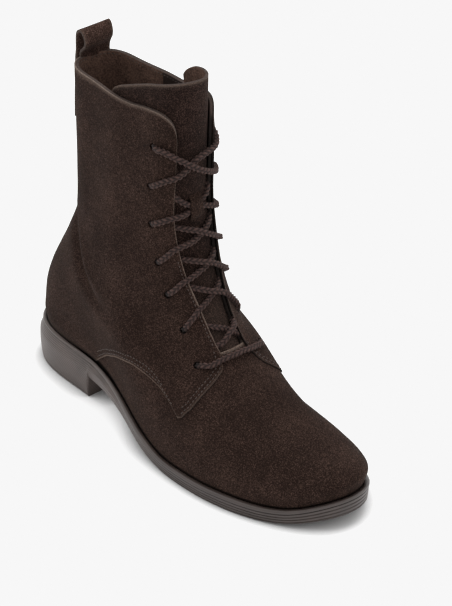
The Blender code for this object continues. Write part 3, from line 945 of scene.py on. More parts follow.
@dataclass
class Outsole:
    """Moulded unit of rim, ribbed side, waist and heel."""

    last: Last
    half: float = 136.0
    lateral: tuple[float, ...] = (47, 31.5, 45, 54, 55)
    medial: tuple[float, ...] = (47, 31, 30, 50.5, 57)
    underside: Rows = ((-68.5, 14.5), (-27, 12.8), (6, 2.7), (28, 0), (75, 0), (109, 2), (136, 9.5))
    breast: float = -70.0
    breast_clear: float = 0.01
    slant: float = 1.5
    fore_end: float = -20.0
    heel_start: float = -65.0
    stations: int = 150
    station_clear: float = 0.45
    angle_step: float = 0.01
    tip_angle: float = 0.001
    lip: Rows = ((3.0, 4.0), (2.8, 0.7), (1.2, 0.3), (0.25, 0.0), (0.0, -0.45), (0.0, 1.25), (0.15, 0.75),
                 (0.6, 0.22), (1.2, 0.0), (1.9, 0.05), (2.2, 0.1), (2.45, 0.65), (2.7, 0.7), (3.0, 0.3))
    inner_rows: int = 5
    clearance: float = 0.4
    least_lip: float = 1.9
    heel_lip: float = 1.2
    heel_flare: float = 1.2
    flare_power: float = 0.8
    side_inset: float = 0.3
    side_slope: float = 0.7
    grooves: tuple[float, ...] = (0.27, 0.55, 0.83)
    groove_half: float = 0.055
    groove_depth: float = 0.6
    foot_line: float = 0.91
    foot_steps: Rows = ((-0.012, 0.0), (0.0, 0.4), (0.012, 0.05))
    tread_rows: Marks = ((0.975, 0.3, 0.1), (1.0, 0.9, 0.6))
    gap_rows: int = 3
    gap_span: Span = (-20.0, 30.0)
    painted_gap_shade: Span = (1.0, 0.5)
    line_rows: tuple[int, ...] = (11, 12, 24)
    painted_line_shade: float = 0.6
    crisp_angle: float = 38.0

    def outline(self, angle: Array) -> Array:
        """Plan point of the edge.

        Args:
            angle: Angle from the toe, positive on the inner side.

        Returns:
            Plan points.
        """
        share = (1 + np.cos(angle)) / 2
        places = np.linspace(0, 1, len(self.lateral))
        width = np.where(angle > 0, smooth(places, self.medial, share), smooth(places, self.lateral, share))
        return np.stack([self.half * (2 * share - 1), width * np.sin(angle)], -1)

    def inset(self, angle: Array, side: Side, inset: Array) -> Array:
        """Plan point moved in from the edge.

        Args:
            angle: Angle from the toe, without its sign.
            side: Side of the foot.
            inset: Distance in.

        Returns:
            Plan points.
        """
        sign = side.value
        tiny = 1e-6
        far = np.minimum(angle + self.angle_step, math.pi - tiny)
        near = np.maximum(angle - self.angle_step, tiny)
        run = self.outline(sign * far) - self.outline(sign * near)
        normal = unit(np.stack([run[..., 1], -run[..., 0]], -1)) * sign
        point = self.outline(sign * np.clip(angle, tiny, math.pi - tiny)) - normal * inset[..., None]
        tip = (angle < self.tip_angle) | (angle > math.pi - self.tip_angle)
        point[..., 1] = np.where(tip, 0.0, point[..., 1])
        return point

    def rows(self) -> list[SoleRow]:
        """List the rows from the inner top of the lip to the edge of the tread.

        Returns:
            The rows.
        """
        made = [SoleRow(depth, 0.0, inset, inset + self.heel_lip * (row >= self.inner_rows))
                for row, (depth, inset) in enumerate(self.lip)]
        dips = ((-self.groove_half, 0.0), (0.0, self.groove_depth), (self.groove_half, 0.0))
        lower = [(groove + step, dip, 0.0) for groove in self.grooves for step, dip in dips]
        lower += [(self.foot_line + step, 0.0, dip) for step, dip in self.foot_steps]
        lower += self.tread_rows
        for share, fore, heel in lower:
            flare = self.heel_flare * math.sin(math.pi * share ** self.flare_power)
            slope = self.side_inset + self.side_slope * share
            made.append(SoleRow(self.lip[-1][0], share, slope + fore, self.side_inset + heel - flare))
        return made

    def angles(self) -> Array:
        """Place the stations from toe to heel, with two at the breast of the heel.

        Returns:
            Their angles.
        """
        even = np.linspace(0, math.pi, self.stations + 1)
        front = math.acos((self.breast + self.slant) / self.half)
        back = math.acos(self.breast / self.half)
        clear = math.pi / self.stations * self.station_clear
        kept = even[(even < front - clear) | (even > back + clear)]
        return np.sort(np.append(kept, [front, back]))

    def side(self, side: Side) -> Array:
        """Shape one side of the sole.

        Args:
            side: Side of the foot.

        Returns:
            Points by station and row.
        """
        rows = self.rows()
        depth = np.array([row.depth for row in rows])
        share = np.array([row.share for row in rows])
        fore_inset = np.array([row.fore for row in rows])
        heel_inset = np.array([row.heel for row in rows])
        angle = self.angles()
        x = self.half * np.cos(angle)[:, None]
        heel = np.clip((self.fore_end - x) / (self.fore_end - self.heel_start), 0, 1)
        bare = self.inset(angle, side, np.zeros(len(angle)))
        foot = self.last.form(side.value * angle, np.zeros(len(angle)))[:, :2]
        reach = np.maximum(np.linalg.norm(bare - foot, axis=-1) - self.clearance, self.least_lip)
        inner = np.where(np.arange(len(rows)) < self.inner_rows, reach[:, None], 0.0)
        inset = fore_inset + (heel_inset - fore_inset) * heel + inner
        plan = self.inset(np.broadcast_to(angle[:, None], inset.shape), side, inset)
        rim = self.last.rim_height(x)
        in_heel = x <= self.breast + self.breast_clear
        low = np.where(in_heel, 0.0, np.maximum(curve(self.underside, x), 0.0))
        top = np.where(share > 0, rim, self.last.rim_height(plan[..., 0]))
        z = top - depth - share * (rim - low - rows[-1].depth)
        return np.concatenate([plan, z[..., None]], -1)

    def build(self, palette: Palette) -> None:
        """Make the sole.

        Args:
            palette: Materials of the boot.
        """
        sheet = Sheet(self.last, ("shade",))
        left = self.side(Side.LATERAL)
        right = self.side(Side.MEDIAL)
        count = left.shape[1]
        row = np.concatenate([np.arange(count), np.arange(count)[::-1], [0]])
        points = np.concatenate([left, right[:, ::-1], left[:, :1]], 1)
        # Painted shade in the gap between the lip and the upper, weaker towards the forepart, and in the
        # groove lines of the side.
        gap = (row < self.gap_rows) * np.interp(points[..., 0], self.gap_span, self.painted_gap_shade)
        line = np.isin(row, self.line_rows) * self.painted_line_shade
        sheet.add(points, shade=np.maximum(gap, line))
        sheet.weld(outward=True)
        sheet.crisp(self.crisp_angle)
        register(sheet.piece("moulded_sole", palette.rubber), "sole_rubber", "outsole")


@dataclass
class Upper:
    """Lined wall of the upper and the two quarters sewn over it."""

    last: Last
    wall: float = 1.6
    step: float = 1.0
    cover: float = 0.9
    collar: float = 9.0
    throat_level: float = 4.95
    throat: Rows = ((4.95, 16.5), (5.6, 17.0), (6.3, 23.0), (6.9, 26.0), (7.7, 25.0), (9.0, 24.0))
    quarter_front: Rows = ((16.5, 4.95), (24, 4.62), (34, 4.36), (46, 3.98), (57, 3.49), (66, 2.95),
                           (73, 2.32))
    quarter_rear: Rows = ((73, 2.32), (76, 3.02), (79, 3.17), (84, 3.21), (91.5, 3.06), (98.5, 2.62),
                          (106.5, 1.95), (113.5, 1.07), (119.5, 0))
    far_drop: Rows = ((16.5, 0), (24, 0.12), (34, 0.22), (46, 0.3), (60, 0.2), (73, 0))
    collar_line: Rows = ((0, 8.56), (0.008, 8.73), (0.026, 8.89), (0.064, 9.02), (0.13, 9.10), (0.237, 9.08),
                         (0.324, 9.02), (0.45, 9.0), (0.7, 9.0), (0.86, 9.0), (0.94, 8.98), (1, 8.95))
    eyelets: Rows = ((8.4, 49), (7.6, 50), (6.9, 49), (6.3, 46), (5.8, 43), (5.25, 39), (4.5, 44))
    medial_low: Rows = ((5.14, 41), (4.32, 47))
    eyelet_radius: float = 2.25
    bow: float = 0.05
    lift: float = 0.9
    lift_span: float = 6.0
    far_glow: float = 0.6
    glow_width: float = 0.8
    low_glow: float = 0.3
    seam_glow: float = 0.75
    collar_glow: float = 0.5
    collar_dark: float = 0.35
    seam_dark: float = 0.4
    front_dark: float = 0.82
    painted_throat_shade: float = 0.9
    painted_gap_shade: float = 0.97
    gap_height: float = 1.5
    tuck: float = 2.2
    tuck_in: float = 0.9
    tuck_level: float = 0.1
    tuck_heel: float = 2.2
    tuck_rise: float = 0.4
    tuck_angles: tuple[float, float] = (104.0, 122.0)
    painted_tuck_shade: float = 0.8
    facing_end: float = 95.0
    throat_band: float = 0.015
    front_reach: float = 1.1
    bow_power: float = 8.0
    sole_level: float = 0.02
    edge_rows: tuple[float, ...] = (0.02, 0.035, 0.06, 0.09)
    side_columns: int = 105
    front_columns: int = 22
    low_rows: int = 56
    low_crowd: float = 1.3
    high_rows: int = 64
    quarter_columns: int = 130
    point_column: float = 0.36
    heel_column: float = 0.66
    quarter_rows: int = 96
    quarter_crowd: float = 1.15
    bar_ends: Span = (-7.0, 6.0)
    bar_sides: int = 20
    wall_round: float = 0.3
    cover_round: float = 0.25

    def throat_angle(self, level: Array) -> Array:
        """Half angle of the throat opening in radians."""
        return np.radians(curve(self.throat, np.clip(level, self.throat_level, self.collar)))

    def heel_tuck(self, angle: Array, level: Array) -> Array:
        """Distance that the upper draws in just over the heel of the sole.

        Args:
            angle: Angle from the front in radians.
            level: Ring level.

        Returns:
            Distance in at each place.
        """
        first, last = self.tuck_angles
        share = np.clip((np.degrees(np.abs(angle)) - first) / (last - first), 0, 1)
        return self.tuck_heel * share * np.exp(-(level / self.tuck_rise) ** 2)

    def bow_at(self, angle: Array) -> Array:
        """Rise of the vamp's throat edge over the throat level."""
        edge = self.throat_angle(np.array(self.throat_level))
        return self.bow * np.clip(1 - (angle / edge) ** 2, 0, 1)

    def side_angle(self, share: Array, level: Array) -> Array:
        """Angle of a column from 0 at the throat edge to 1 at the back."""
        edge = self.throat_angle(level)
        return edge + (math.pi - edge) * share

    def share_of(self, degrees: float) -> float:
        """Share of the column with this angle below the throat."""
        edge = float(self.throat_angle(np.array(self.throat_level)))
        return (math.radians(degrees) - edge) / (math.pi - edge)

    def quarter_level(self, share: Array, side: Side) -> Array:
        """Level of a quarter's lower edge.

        Args:
            share: Columns of the quarter.
            side: Side of the foot.

        Returns:
            Level at each column.
        """
        degrees = np.degrees(self.side_angle(share, np.array(0.0)))
        front = curve(self.quarter_front, degrees)
        if side is Side.MEDIAL:
            front = front - curve(self.far_drop, np.minimum(degrees, self.far_drop[-1][0]))
        rear = np.maximum(curve(self.quarter_rear, np.minimum(degrees, self.quarter_rear[-1][0])), 0.0)
        return np.where(degrees <= self.quarter_rear[0][0], front, rear)

    def collar_level(self, share: Array) -> Array:
        """Level of the top edge, rounded down at the throat corner."""
        return curve(self.collar_line, share)

    def holes(self, side: Side) -> Rows:
        """List the eyelets of a side from the top.

        Args:
            side: Side of the foot.

        Returns:
            Levels and angles in degrees.
        """
        if side is Side.LATERAL:
            return self.eyelets
        return self.eyelets[:-len(self.medial_low)] + self.medial_low

    def add_low_wall(self, sheet: Sheet) -> None:
        """Add the wall from under the rim of the sole to the throat.

        Args:
            sheet: Mesh that takes it.
        """
        throat = np.array(self.throat_level)
        edge = self.throat_angle(throat)
        sides = self.side_angle(np.linspace(0, 1, self.side_columns + 1), throat)
        front = np.linspace(-edge, edge, self.front_columns + 1)[1:-1]
        rise = self.throat_level * np.linspace(0, 1, self.low_rows + 1) ** self.low_crowd
        rise = np.sort(np.append(rise, self.throat_level - np.array(self.edge_rows)))
        angle, level = np.meshgrid(np.concatenate([-sides[::-1], front, sides]), rise)
        worn = np.exp(-((self.throat_level - level) / self.edge_rows[1]) ** 2)
        worn = worn * (np.abs(angle) < edge * self.front_reach)
        bend = np.clip(1 - level / self.tuck_level, 0, 1) ** 2
        level = level + self.bow_at(angle) * (level / self.throat_level) ** self.bow_power
        low = self.last.on(angle, level, -self.tuck_in * bend - self.heel_tuck(angle, level))
        foot = low[:1] - np.array([0.0, 0.0, self.tuck])
        # The wall's foot, tucked in under the sole's lip, takes painted shade.
        sheet.add(np.concatenate([foot, low]), edge=np.concatenate([worn[:1], worn]),
                  shade=np.concatenate([bend[:1], bend]) * self.painted_tuck_shade)

    def add_high_wall(self, sheet: Sheet) -> None:
        """Add the wall from the throat to the collar, open in front.

        Args:
            sheet: Mesh that takes it.
        """
        shares = np.linspace(0, 1, self.side_columns + 1)
        round_back = np.concatenate([shares, shares[-2::-1]])
        sign = np.concatenate([np.ones(len(shares)), -np.ones(len(shares) - 1)])
        climb = np.linspace(0, 1, self.high_rows + 1)[:, None]
        level = self.throat_level + (self.collar_level(round_back) - self.throat_level) * climb
        share = np.broadcast_to(round_back, level.shape)
        side = self.side_angle(share, level)
        # Painted shade on the skin and cut edge by the throat edge, where the wall shows in the gap under
        # the inner quarter.
        dark = self.painted_throat_shade * (share < self.throat_band)
        sheet.add(self.last.on(sign * side, level, 0.0), facing=np.degrees(side) < self.facing_end,
                  shade=dark, rim=dark)

    def quarter_grid(self, side: Side) -> tuple[Array, Array]:
        """Spread the points of a quarter, closer towards its front and lower edges.

        Args:
            side: Side of the foot.

        Returns:
            Angles and levels of the points.
        """
        point = self.share_of(self.quarter_rear[0][0])
        heel = self.share_of(self.quarter_rear[-1][0])
        across = np.linspace(0, 1, self.quarter_columns + 1)
        share = np.interp(across, (0, self.point_column, self.heel_column, 1), (0, point, heel, 1))
        front = point * (1 - np.cos(math.pi / 2 * across / self.point_column))
        share = np.where(across < self.point_column, front, share)
        low = self.quarter_level(share, side)
        climb = np.linspace(0, 1, self.quarter_rows + 1)[:, None] ** self.quarter_crowd
        level = low + (self.collar_level(share) - low) * climb
        return side.value * self.side_angle(share, level), level

    def edge_glow(self, points: Array, low_share: Array) -> Array:
        """Closeness of the points of a quarter to its free edges.

        Args:
            points: Points by row and column.
            low_share: Strength along the lower edge, by column.

        Returns:
            Closeness from 0 to 1.
        """
        up = run_length(points)
        along = run_length(points, 1)
        low = np.exp(-(up / self.glow_width) ** 2) * low_share
        front = np.exp(-(along / self.glow_width) ** 2)
        top = np.exp(-((up[-1:] - up) / self.glow_width) ** 2) * self.collar_glow
        return np.maximum(np.maximum(low, front), top)

    def hole_cutter(self) -> bpy.types.Object:
        """Make round bars through both rows of eyelets.

        Returns:
            One object of all the bars.
        """
        work = bmesh.new()
        radius = self.eyelet_radius * MM
        for side in Side:
            for level, degrees in self.holes(side):
                angle = np.array(side.value * math.radians(degrees))
                ends = self.last.metres(self.last.on(angle, np.array(level), np.array(self.bar_ends)))
                axis = Vector(ends[1] - ends[0])
                turn = axis.to_track_quat("Z", "Y").to_matrix().to_4x4()
                bmesh.ops.create_cone(work, cap_ends=True, segments=self.bar_sides, radius1=radius,
                                      radius2=radius, depth=axis.length,
                                      matrix=Matrix.Translation(Vector(ends.mean(0))) @ turn)
        return make_object("eyelet_bars", work, soft=False)

    def pierce(self, item: bpy.types.Object, cutter: bpy.types.Object) -> None:
        """Cut the eyelets and apply the modifiers.

        Args:
            item: Piece to cut.
            cutter: Bars that cut it.
        """
        holes = item.modifiers.new("eyelets", "BOOLEAN")
        holes.operation = "DIFFERENCE"
        holes.solver = "EXACT"
        holes.object = cutter
        settle(item)

    def build_wall(self, palette: Palette, cutter: bpy.types.Object) -> None:
        """Make the lined wall.

        Args:
            palette: Materials of the boot.
            cutter: Bars that cut the eyelets.
        """
        sheet = Sheet(self.last, ("edge", "facing", "shade", "rim"))
        self.add_low_wall(sheet)
        self.add_high_wall(sheet)
        sheet.weld()
        item = sheet.piece("lined_wall", palette.suede, palette.lining, palette.facing)
        thicken(item, self.wall, -1.0, self.wall_round)
        self.pierce(item, cutter)
        register(item, "suede", "upper")

    def build_quarter(self, side: Side, palette: Palette, cutter: bpy.types.Object) -> None:
        """Make a quarter.

        Args:
            side: Side of the foot.
            palette: Materials of the boot.
            cutter: Bars that cut the eyelets.
        """
        angle, level = self.quarter_grid(side)
        out = self.step - self.heel_tuck(angle, level)
        points = self.last.on(angle, level, out)
        ahead = np.abs(angle[0]) <= math.radians(self.quarter_rear[0][0])
        climb = np.linalg.norm(points - points[:1], axis=-1)
        # Painted shadow in the gap just above the sole at the heel, where the quarter's pale edge is taken
        # out.
        dark = self.painted_gap_shade * np.exp(-(climb / self.gap_height) ** 2) * (level[0] < self.sole_level)
        glow = self.edge_glow(points, np.where(ahead, self.low_glow, self.seam_glow)) * (1 - dark)
        rim_dark = np.zeros_like(glow)
        rim_dark[-1] = self.collar_dark
        rim_dark[0] = np.where(ahead, self.front_dark, self.seam_dark)
        # The inner quarter gets painted shade: a dark cut face at its throat edge and weaker pale edges.
        if side is Side.MEDIAL:
            rim_dark[:, 0] = self.painted_throat_shade
            glow = glow * self.far_glow
            gap = np.linalg.norm(points - points[:, :1], axis=-1)
            points = self.last.on(angle, level, out + self.lift * np.exp(-(gap / self.lift_span) ** 2))
        sheet = Sheet(self.last, ("edge", "shade", "rim"))
        sheet.add(points, edge=glow, shade=dark, rim=rim_dark)
        sheet.weld()
        if side is Side.LATERAL:
            sheet.turn()
        # The inner quarter's cut faces take the darker facing edge, as painted shade.
        rim = palette.edge if side is Side.LATERAL else palette.facing
        item = sheet.piece("quarter_" + side.name.lower(), palette.suede, palette.suede, rim)
        thicken(item, self.cover, -1.0, self.cover_round)
        self.pierce(item, cutter)
        register(item, "suede")

    def build(self, palette: Palette) -> None:
        """Make the wall and both quarters.

        Args:
            palette: Materials of the boot.
        """
        cutter = self.hole_cutter()
        self.build_wall(palette, cutter)
        for side in Side:
            self.build_quarter(side, palette, cutter)
        bpy.data.objects.remove(cutter)


@dataclass
class Tongue:
    """Wide sheet under the quarters, with the band that keeps the lace."""

    last: Last
    lateral: Rows = ((4.3, 26), (5.5, 34), (7.0, 60), (8.2, 93), (9.7, 112))
    medial: Rows = ((4.3, 26), (5.5, 34), (7.0, 50), (8.2, 62), (9.7, 72))
    top: Rows = ((-104, 8.7), (-102, 8.84), (-99, 8.97), (-95, 9.08), (-89, 9.17), (-82, 9.25), (-70, 9.38),
                 (-55, 9.53), (-36, 9.65), (-17, 9.70), (0, 9.69), (11, 9.66), (30, 9.63), (52, 9.57),
                 (64, 9.39), (72, 9.1))
    collar: float = 9.0
    foot: float = 4.35
    out: float = -2.6
    thick: float = 1.8
    rounding: float = 0.4
    columns: int = 110
    rows: int = 110
    top_glow: float = 0.6
    glow_width: float = 1.1
    foot_pale: float = 0.14
    pale_top: float = 6.4
    pale_fade: float = 1.2
    slit_levels: Span = (7.02, 7.34)
    slit_aside: float = 0.8
    slit_width: float = 2.4
    keeper_levels: Span = (6.92, 7.44)
    keeper_half: float = 8.0
    keeper_sunk: float = 1.2
    keeper_arch: float = 3.6
    keeper_steep: float = 1.3
    keeper_thick: float = 1.1
    keeper_round: float = 0.3
    keeper_rows: int = 40
    keeper_columns: int = 15

    def grid(self) -> tuple[Array, Array]:
        """Spread the points of the sheet.

        Returns:
            Angles and levels of the points.
        """
        share = np.linspace(0, 1, self.columns + 1)
        collar = np.array(self.collar)
        first = -curve(self.lateral, collar)
        last = curve(self.medial, collar)
        top = curve(self.top, first + (last - first) * share)
        climb = np.linspace(0, 1, self.rows + 1)[:, None]
        level = self.foot + (top - self.foot) * climb
        near = -curve(self.lateral, level)
        far = curve(self.medial, level)
        return np.radians(near + (far - near) * share), level

    def build(self, palette: Palette) -> None:
        """Make the tongue, with painted shade at the slits of its keeper, and the keeper.

        Args:
            palette: Materials of the boot.
        """
        angle, level = self.grid()
        points = self.last.on(angle, level, self.out)
        rise = np.linalg.norm(points - points[-1:], axis=-1)
        # Painted shade along the slits of the keeper, where the lace goes in.
        aside = np.abs(np.degrees(np.abs(angle)) - self.keeper_half - self.slit_aside)
        low, high = self.slit_levels
        painted_slit_shade = np.clip(self.slit_width - aside, 0, 1) * ((level > low) & (level < high))
        pale = self.foot_pale * np.clip((self.pale_top - level) / self.pale_fade, 0, 1)
        glow = self.top_glow * np.exp(-(rise / self.glow_width) ** 2)
        sheet = Sheet(self.last, ("edge", "shade"))
        sheet.add(points, edge=np.maximum(glow, pale), shade=painted_slit_shade)
        sheet.weld()
        # The tongue takes the darker suede, painted shade for where it lies behind the quarters.
        item = sheet.piece("tongue_sheet", palette.tongue, palette.lining, palette.facing)
        thicken(item, self.thick, -1.0, self.rounding)
        settle(item)
        register(item, "suede", "tongue")
        self.build_keeper(palette)

    def build_keeper(self, palette: Palette) -> None:
        """Make the band that arches over the lace.

        Args:
            palette: Materials of the boot.
        """
        low, high = self.keeper_levels
        across = np.radians(np.linspace(-self.keeper_half, self.keeper_half, self.keeper_columns))
        angle, climb = np.meshgrid(across, np.linspace(0, 1, self.keeper_rows))
        arch = np.minimum(1.0, self.keeper_steep * np.sin(math.pi * climb))
        arch = arch * arch * (3 - 2 * arch)
        out = self.out - self.keeper_sunk + arch * self.keeper_arch
        sheet = Sheet(self.last, ("edge",))
        sheet.add(self.last.on(angle, low + (high - low) * climb, out), edge=0.0)
        item = sheet.piece("lace_keeper", palette.suede, palette.suede, palette.suede)
        thicken(item, self.keeper_thick, 0.0, self.keeper_round)
        settle(item)
        register(item, "suede")


@dataclass
class PullLoop:
    """Folded strap sewn over the back of the collar."""

    last: Last
    line: Marks = (
        (1.9, 7.85, 0.0), (1.9, 8.4, 1.0), (1.9, 8.95, 3.0), (2.0, 9.12, 4.0), (2.2, 9.27, 4.3),
        (1.7, 9.41, 4.3), (-0.4, 9.51, 4.3), (-3.2, 9.545, 4.3), (-5.8, 9.5, 4.3), (-7.4, 9.4, 4.3),
        (-6.8, 9.3, 4.3), (-4.4, 9.21, 4.3), (-2.4, 9.13, 4.3), (-1.4, 9.06, 4.3), (-1.0, 9.0, 4.3),
        (-0.9, 8.94, 4.3))
    half_width: float = 10.0
    thick: float = 1.6
    rounding: float = 0.35
    lean: float = 0.11
    twist: float = 0.28
    flat_from: Span = (8.7, 9.15)
    glow: float = 0.25
    glow_width: float = 1.2
    rows: int = 150
    columns: int = 21

    def points(self, across: Array) -> Array:
        """Shape the strap, bent round the boot at its ends and flat where it stands free.

        Args:
            across: Distances from its middle line.

        Returns:
            Points by row and column.
        """
        form = self.last
        steps = np.linspace(0, len(self.line) - 1, self.rows)
        route = smooth(range(len(self.line)), self.line, steps)
        out, level = route[:, :1], np.repeat(route[:, 1:2], len(across), 1)
        along = [ring.along for ring in form.rings]
        place = np.interp(level, range(len(along)), along)
        back_width = smooth(along, [ring.lateral[0] for ring in form.rings], place)
        angle = math.pi - np.arcsin((across + route[:, 2:]) / back_width)
        middle = math.pi - np.arcsin(route[:, 2:] / back_width)
        bent = form.form(angle, level) + form.normal(angle, level) * out[..., None]
        away = form.normal(middle, level)
        aside = unit(np.cross(away, (0.0, 0.0, 1.0)))
        aside[..., 2] = self.lean
        skew = out - np.minimum(out, 0.0) * self.twist * across / self.half_width
        flat = form.form(middle, level) + away * skew[..., None] + aside * across[:, None]
        low, high = self.flat_from
        share = np.clip((level - low) / (high - low), 0, 1)[..., None]
        return bent + (flat - bent) * share

    def build(self, palette: Palette) -> None:
        """Make the strap.

        Args:
            palette: Materials of the boot.
        """
        across = np.linspace(-self.half_width, self.half_width, self.columns)
        side = np.minimum(across + self.half_width, self.half_width - across)
        sheet = Sheet(self.last, ("edge",))
        sheet.add(self.points(across), edge=self.glow * np.exp(-(side / self.glow_width) ** 2))
        # The strap takes the lighter suede as painted light on its front, and the darker facing edge on its
        # cut faces as painted shade.
        item = sheet.piece("pull_strap", palette.strap, palette.strap, palette.facing)
        thicken(item, self.thick, 0.0, self.rounding)
        settle(item)
        register(item, "suede", "pull_loop")


@dataclass
class Footbed:
    """Insole inside the wall."""

    last: Last
    rise: float = 0.3
    thick: float = 2.8
    rounding: float = 0.4
    clear: float = 4.4
    end_angle: float = 0.02
    columns: int = 90
    rows: int = 31

    def build(self, palette: Palette) -> None:
        """Make the footbed.

        Args:
            palette: Materials of the boot.
        """
        angle = np.linspace(self.end_angle, math.pi - self.end_angle, self.columns)[:, None]
        ground = np.zeros_like(angle)
        edges = []
        for side in Side:
            at = side.value * angle
            inside = self.last.form(at, ground) - self.last.normal(at, ground) * self.clear
            inside[..., 2] = self.last.rim_height(inside[..., 0]) + self.rise + self.thick
            edges.append(inside)
        share = np.linspace(0, 1, self.rows)[:, None]
        sheet = Sheet(self.last, ("facing",))
        sheet.add(edges[0] + (edges[1] - edges[0]) * share, facing=0.0)
        item = sheet.piece("footbed", palette.lining, palette.lining, palette.edge)
        thicken(item, self.thick, -1.0, self.rounding)
        settle(item)
        register(item, "insole_lining", "insole")


@dataclass(frozen=True)
class LaceRun:
    """Run of the lace through marks of (degrees, level, distance out), from and to any eyelets named."""

    marks: Marks
    start: tuple[Side, int] | None = None
    end: tuple[Side, int] | None = None


BAR = LaceRun(((-34.5, 4.57, 2.9), (-21, 4.77, 2.9), (-7, 4.86, 2.9), (7.5, 4.85, 2.9), (26, 4.68, 2.9),
               (38, 4.47, 2.9)), (Side.LATERAL, 6), (Side.MEDIAL, 6))
CROSSINGS = (
    (LaceRun(((24, 5.0, -1.8), (14, 5.15, -0.6), (0, 5.31, -0.5), (-11.8, 5.37, -0.7), (-21, 5.4, -1.8))),
     LaceRun(((-21, 5.02, -1.8), (-16, 5.07, -0.8), (-9.5, 5.11, 1.2), (0.8, 5.22, 3.2), (14, 5.28, 1.2),
              (21, 5.32, -1.6)))),
    (LaceRun(((-28, 5.48, 2.9), (-18.5, 5.64, 1.4), (-9.5, 5.73, 0.0), (-1.5, 5.80, -0.5), (10, 5.86, -0.6),
              (19, 5.9, -1.5), (26, 5.92, -1.9)), (Side.LATERAL, 5)),
     LaceRun(((33, 5.36, 2.9), (22, 5.6, 2.9), (9.2, 5.79, 3.7), (-8.5, 5.93, 1.4), (-15.5, 5.97, -0.3),
              (-21, 5.99, -1.5), (-27, 6.0, -1.9)), (Side.MEDIAL, 5))),
    (LaceRun(((-27, 6.06, 2.9), (-9.5, 6.19, 0.2), (3.2, 6.25, -0.5), (14, 6.30, -0.6), (24, 6.33, -1.5),
              (30, 6.35, -1.9)), (Side.LATERAL, 4)),
     LaceRun(((34, 5.93, 2.9), (24.2, 6.05, 2.9), (4, 6.29, 3.7), (-10, 6.37, 1.1), (-18, 6.39, -0.5),
              (-24, 6.4, -1.5), (-30, 6.4, -1.9)), (Side.MEDIAL, 4))),
    (LaceRun(((-27.5, 6.58, 2.9), (-6, 6.68, 0.1), (4, 6.74, -0.5), (12, 6.78, -0.6), (26, 6.85, -1.5),
              (32, 6.87, -1.9)), (Side.LATERAL, 3)),
     LaceRun(((34, 6.42, 2.9), (22.8, 6.54, 2.9), (8, 6.70, 3.7), (-4, 6.82, 2.4), (-15, 6.87, 0.3),
              (-24, 6.89, -1.4), (-31, 6.9, -1.9)), (Side.MEDIAL, 3))),
    (LaceRun(((-31, 7.07, 2.9), (-20.2, 7.10, 1.0), (-12, 7.11, -1.2), (-5, 7.13, -3.2), (8, 7.22, -3.2),
              (17, 7.3, -1.4), (26, 7.42, -1.6), (32, 7.45, -1.9)), (Side.LATERAL, 2)),
     LaceRun(((38, 6.92, 2.9), (27, 7.0, 2.6), (18, 7.08, 0.6), (10, 7.14, -1.6), (-5.8, 7.22, -3.2),
              (-11, 7.27, -1.4), (-16, 7.32, -0.8), (-22.5, 7.41, -1.1), (-29, 7.48, -1.9)),
             (Side.MEDIAL, 2))),
    (LaceRun(((-34.2, 7.81, 2.9), (-23, 7.90, 2.4), (-12.2, 8.03, 0.9), (-2.2, 8.16, 0.4), (10.2, 8.22, 1.0),
              (21, 8.24, 2.5), (28.8, 8.26, 2.9), (40, 8.33, 2.9)), (Side.LATERAL, 1), (Side.MEDIAL, 0)),
     LaceRun(((38, 7.65, 2.9), (29, 7.68, 2.9), (19.2, 7.76, 3.2), (-2.2, 8.0, 4.6), (-17.2, 8.2, 3.4),
              (-28.8, 8.33, 2.9), (-36.8, 8.40, 2.9)), (Side.MEDIAL, 1), (Side.LATERAL, 0))),
)


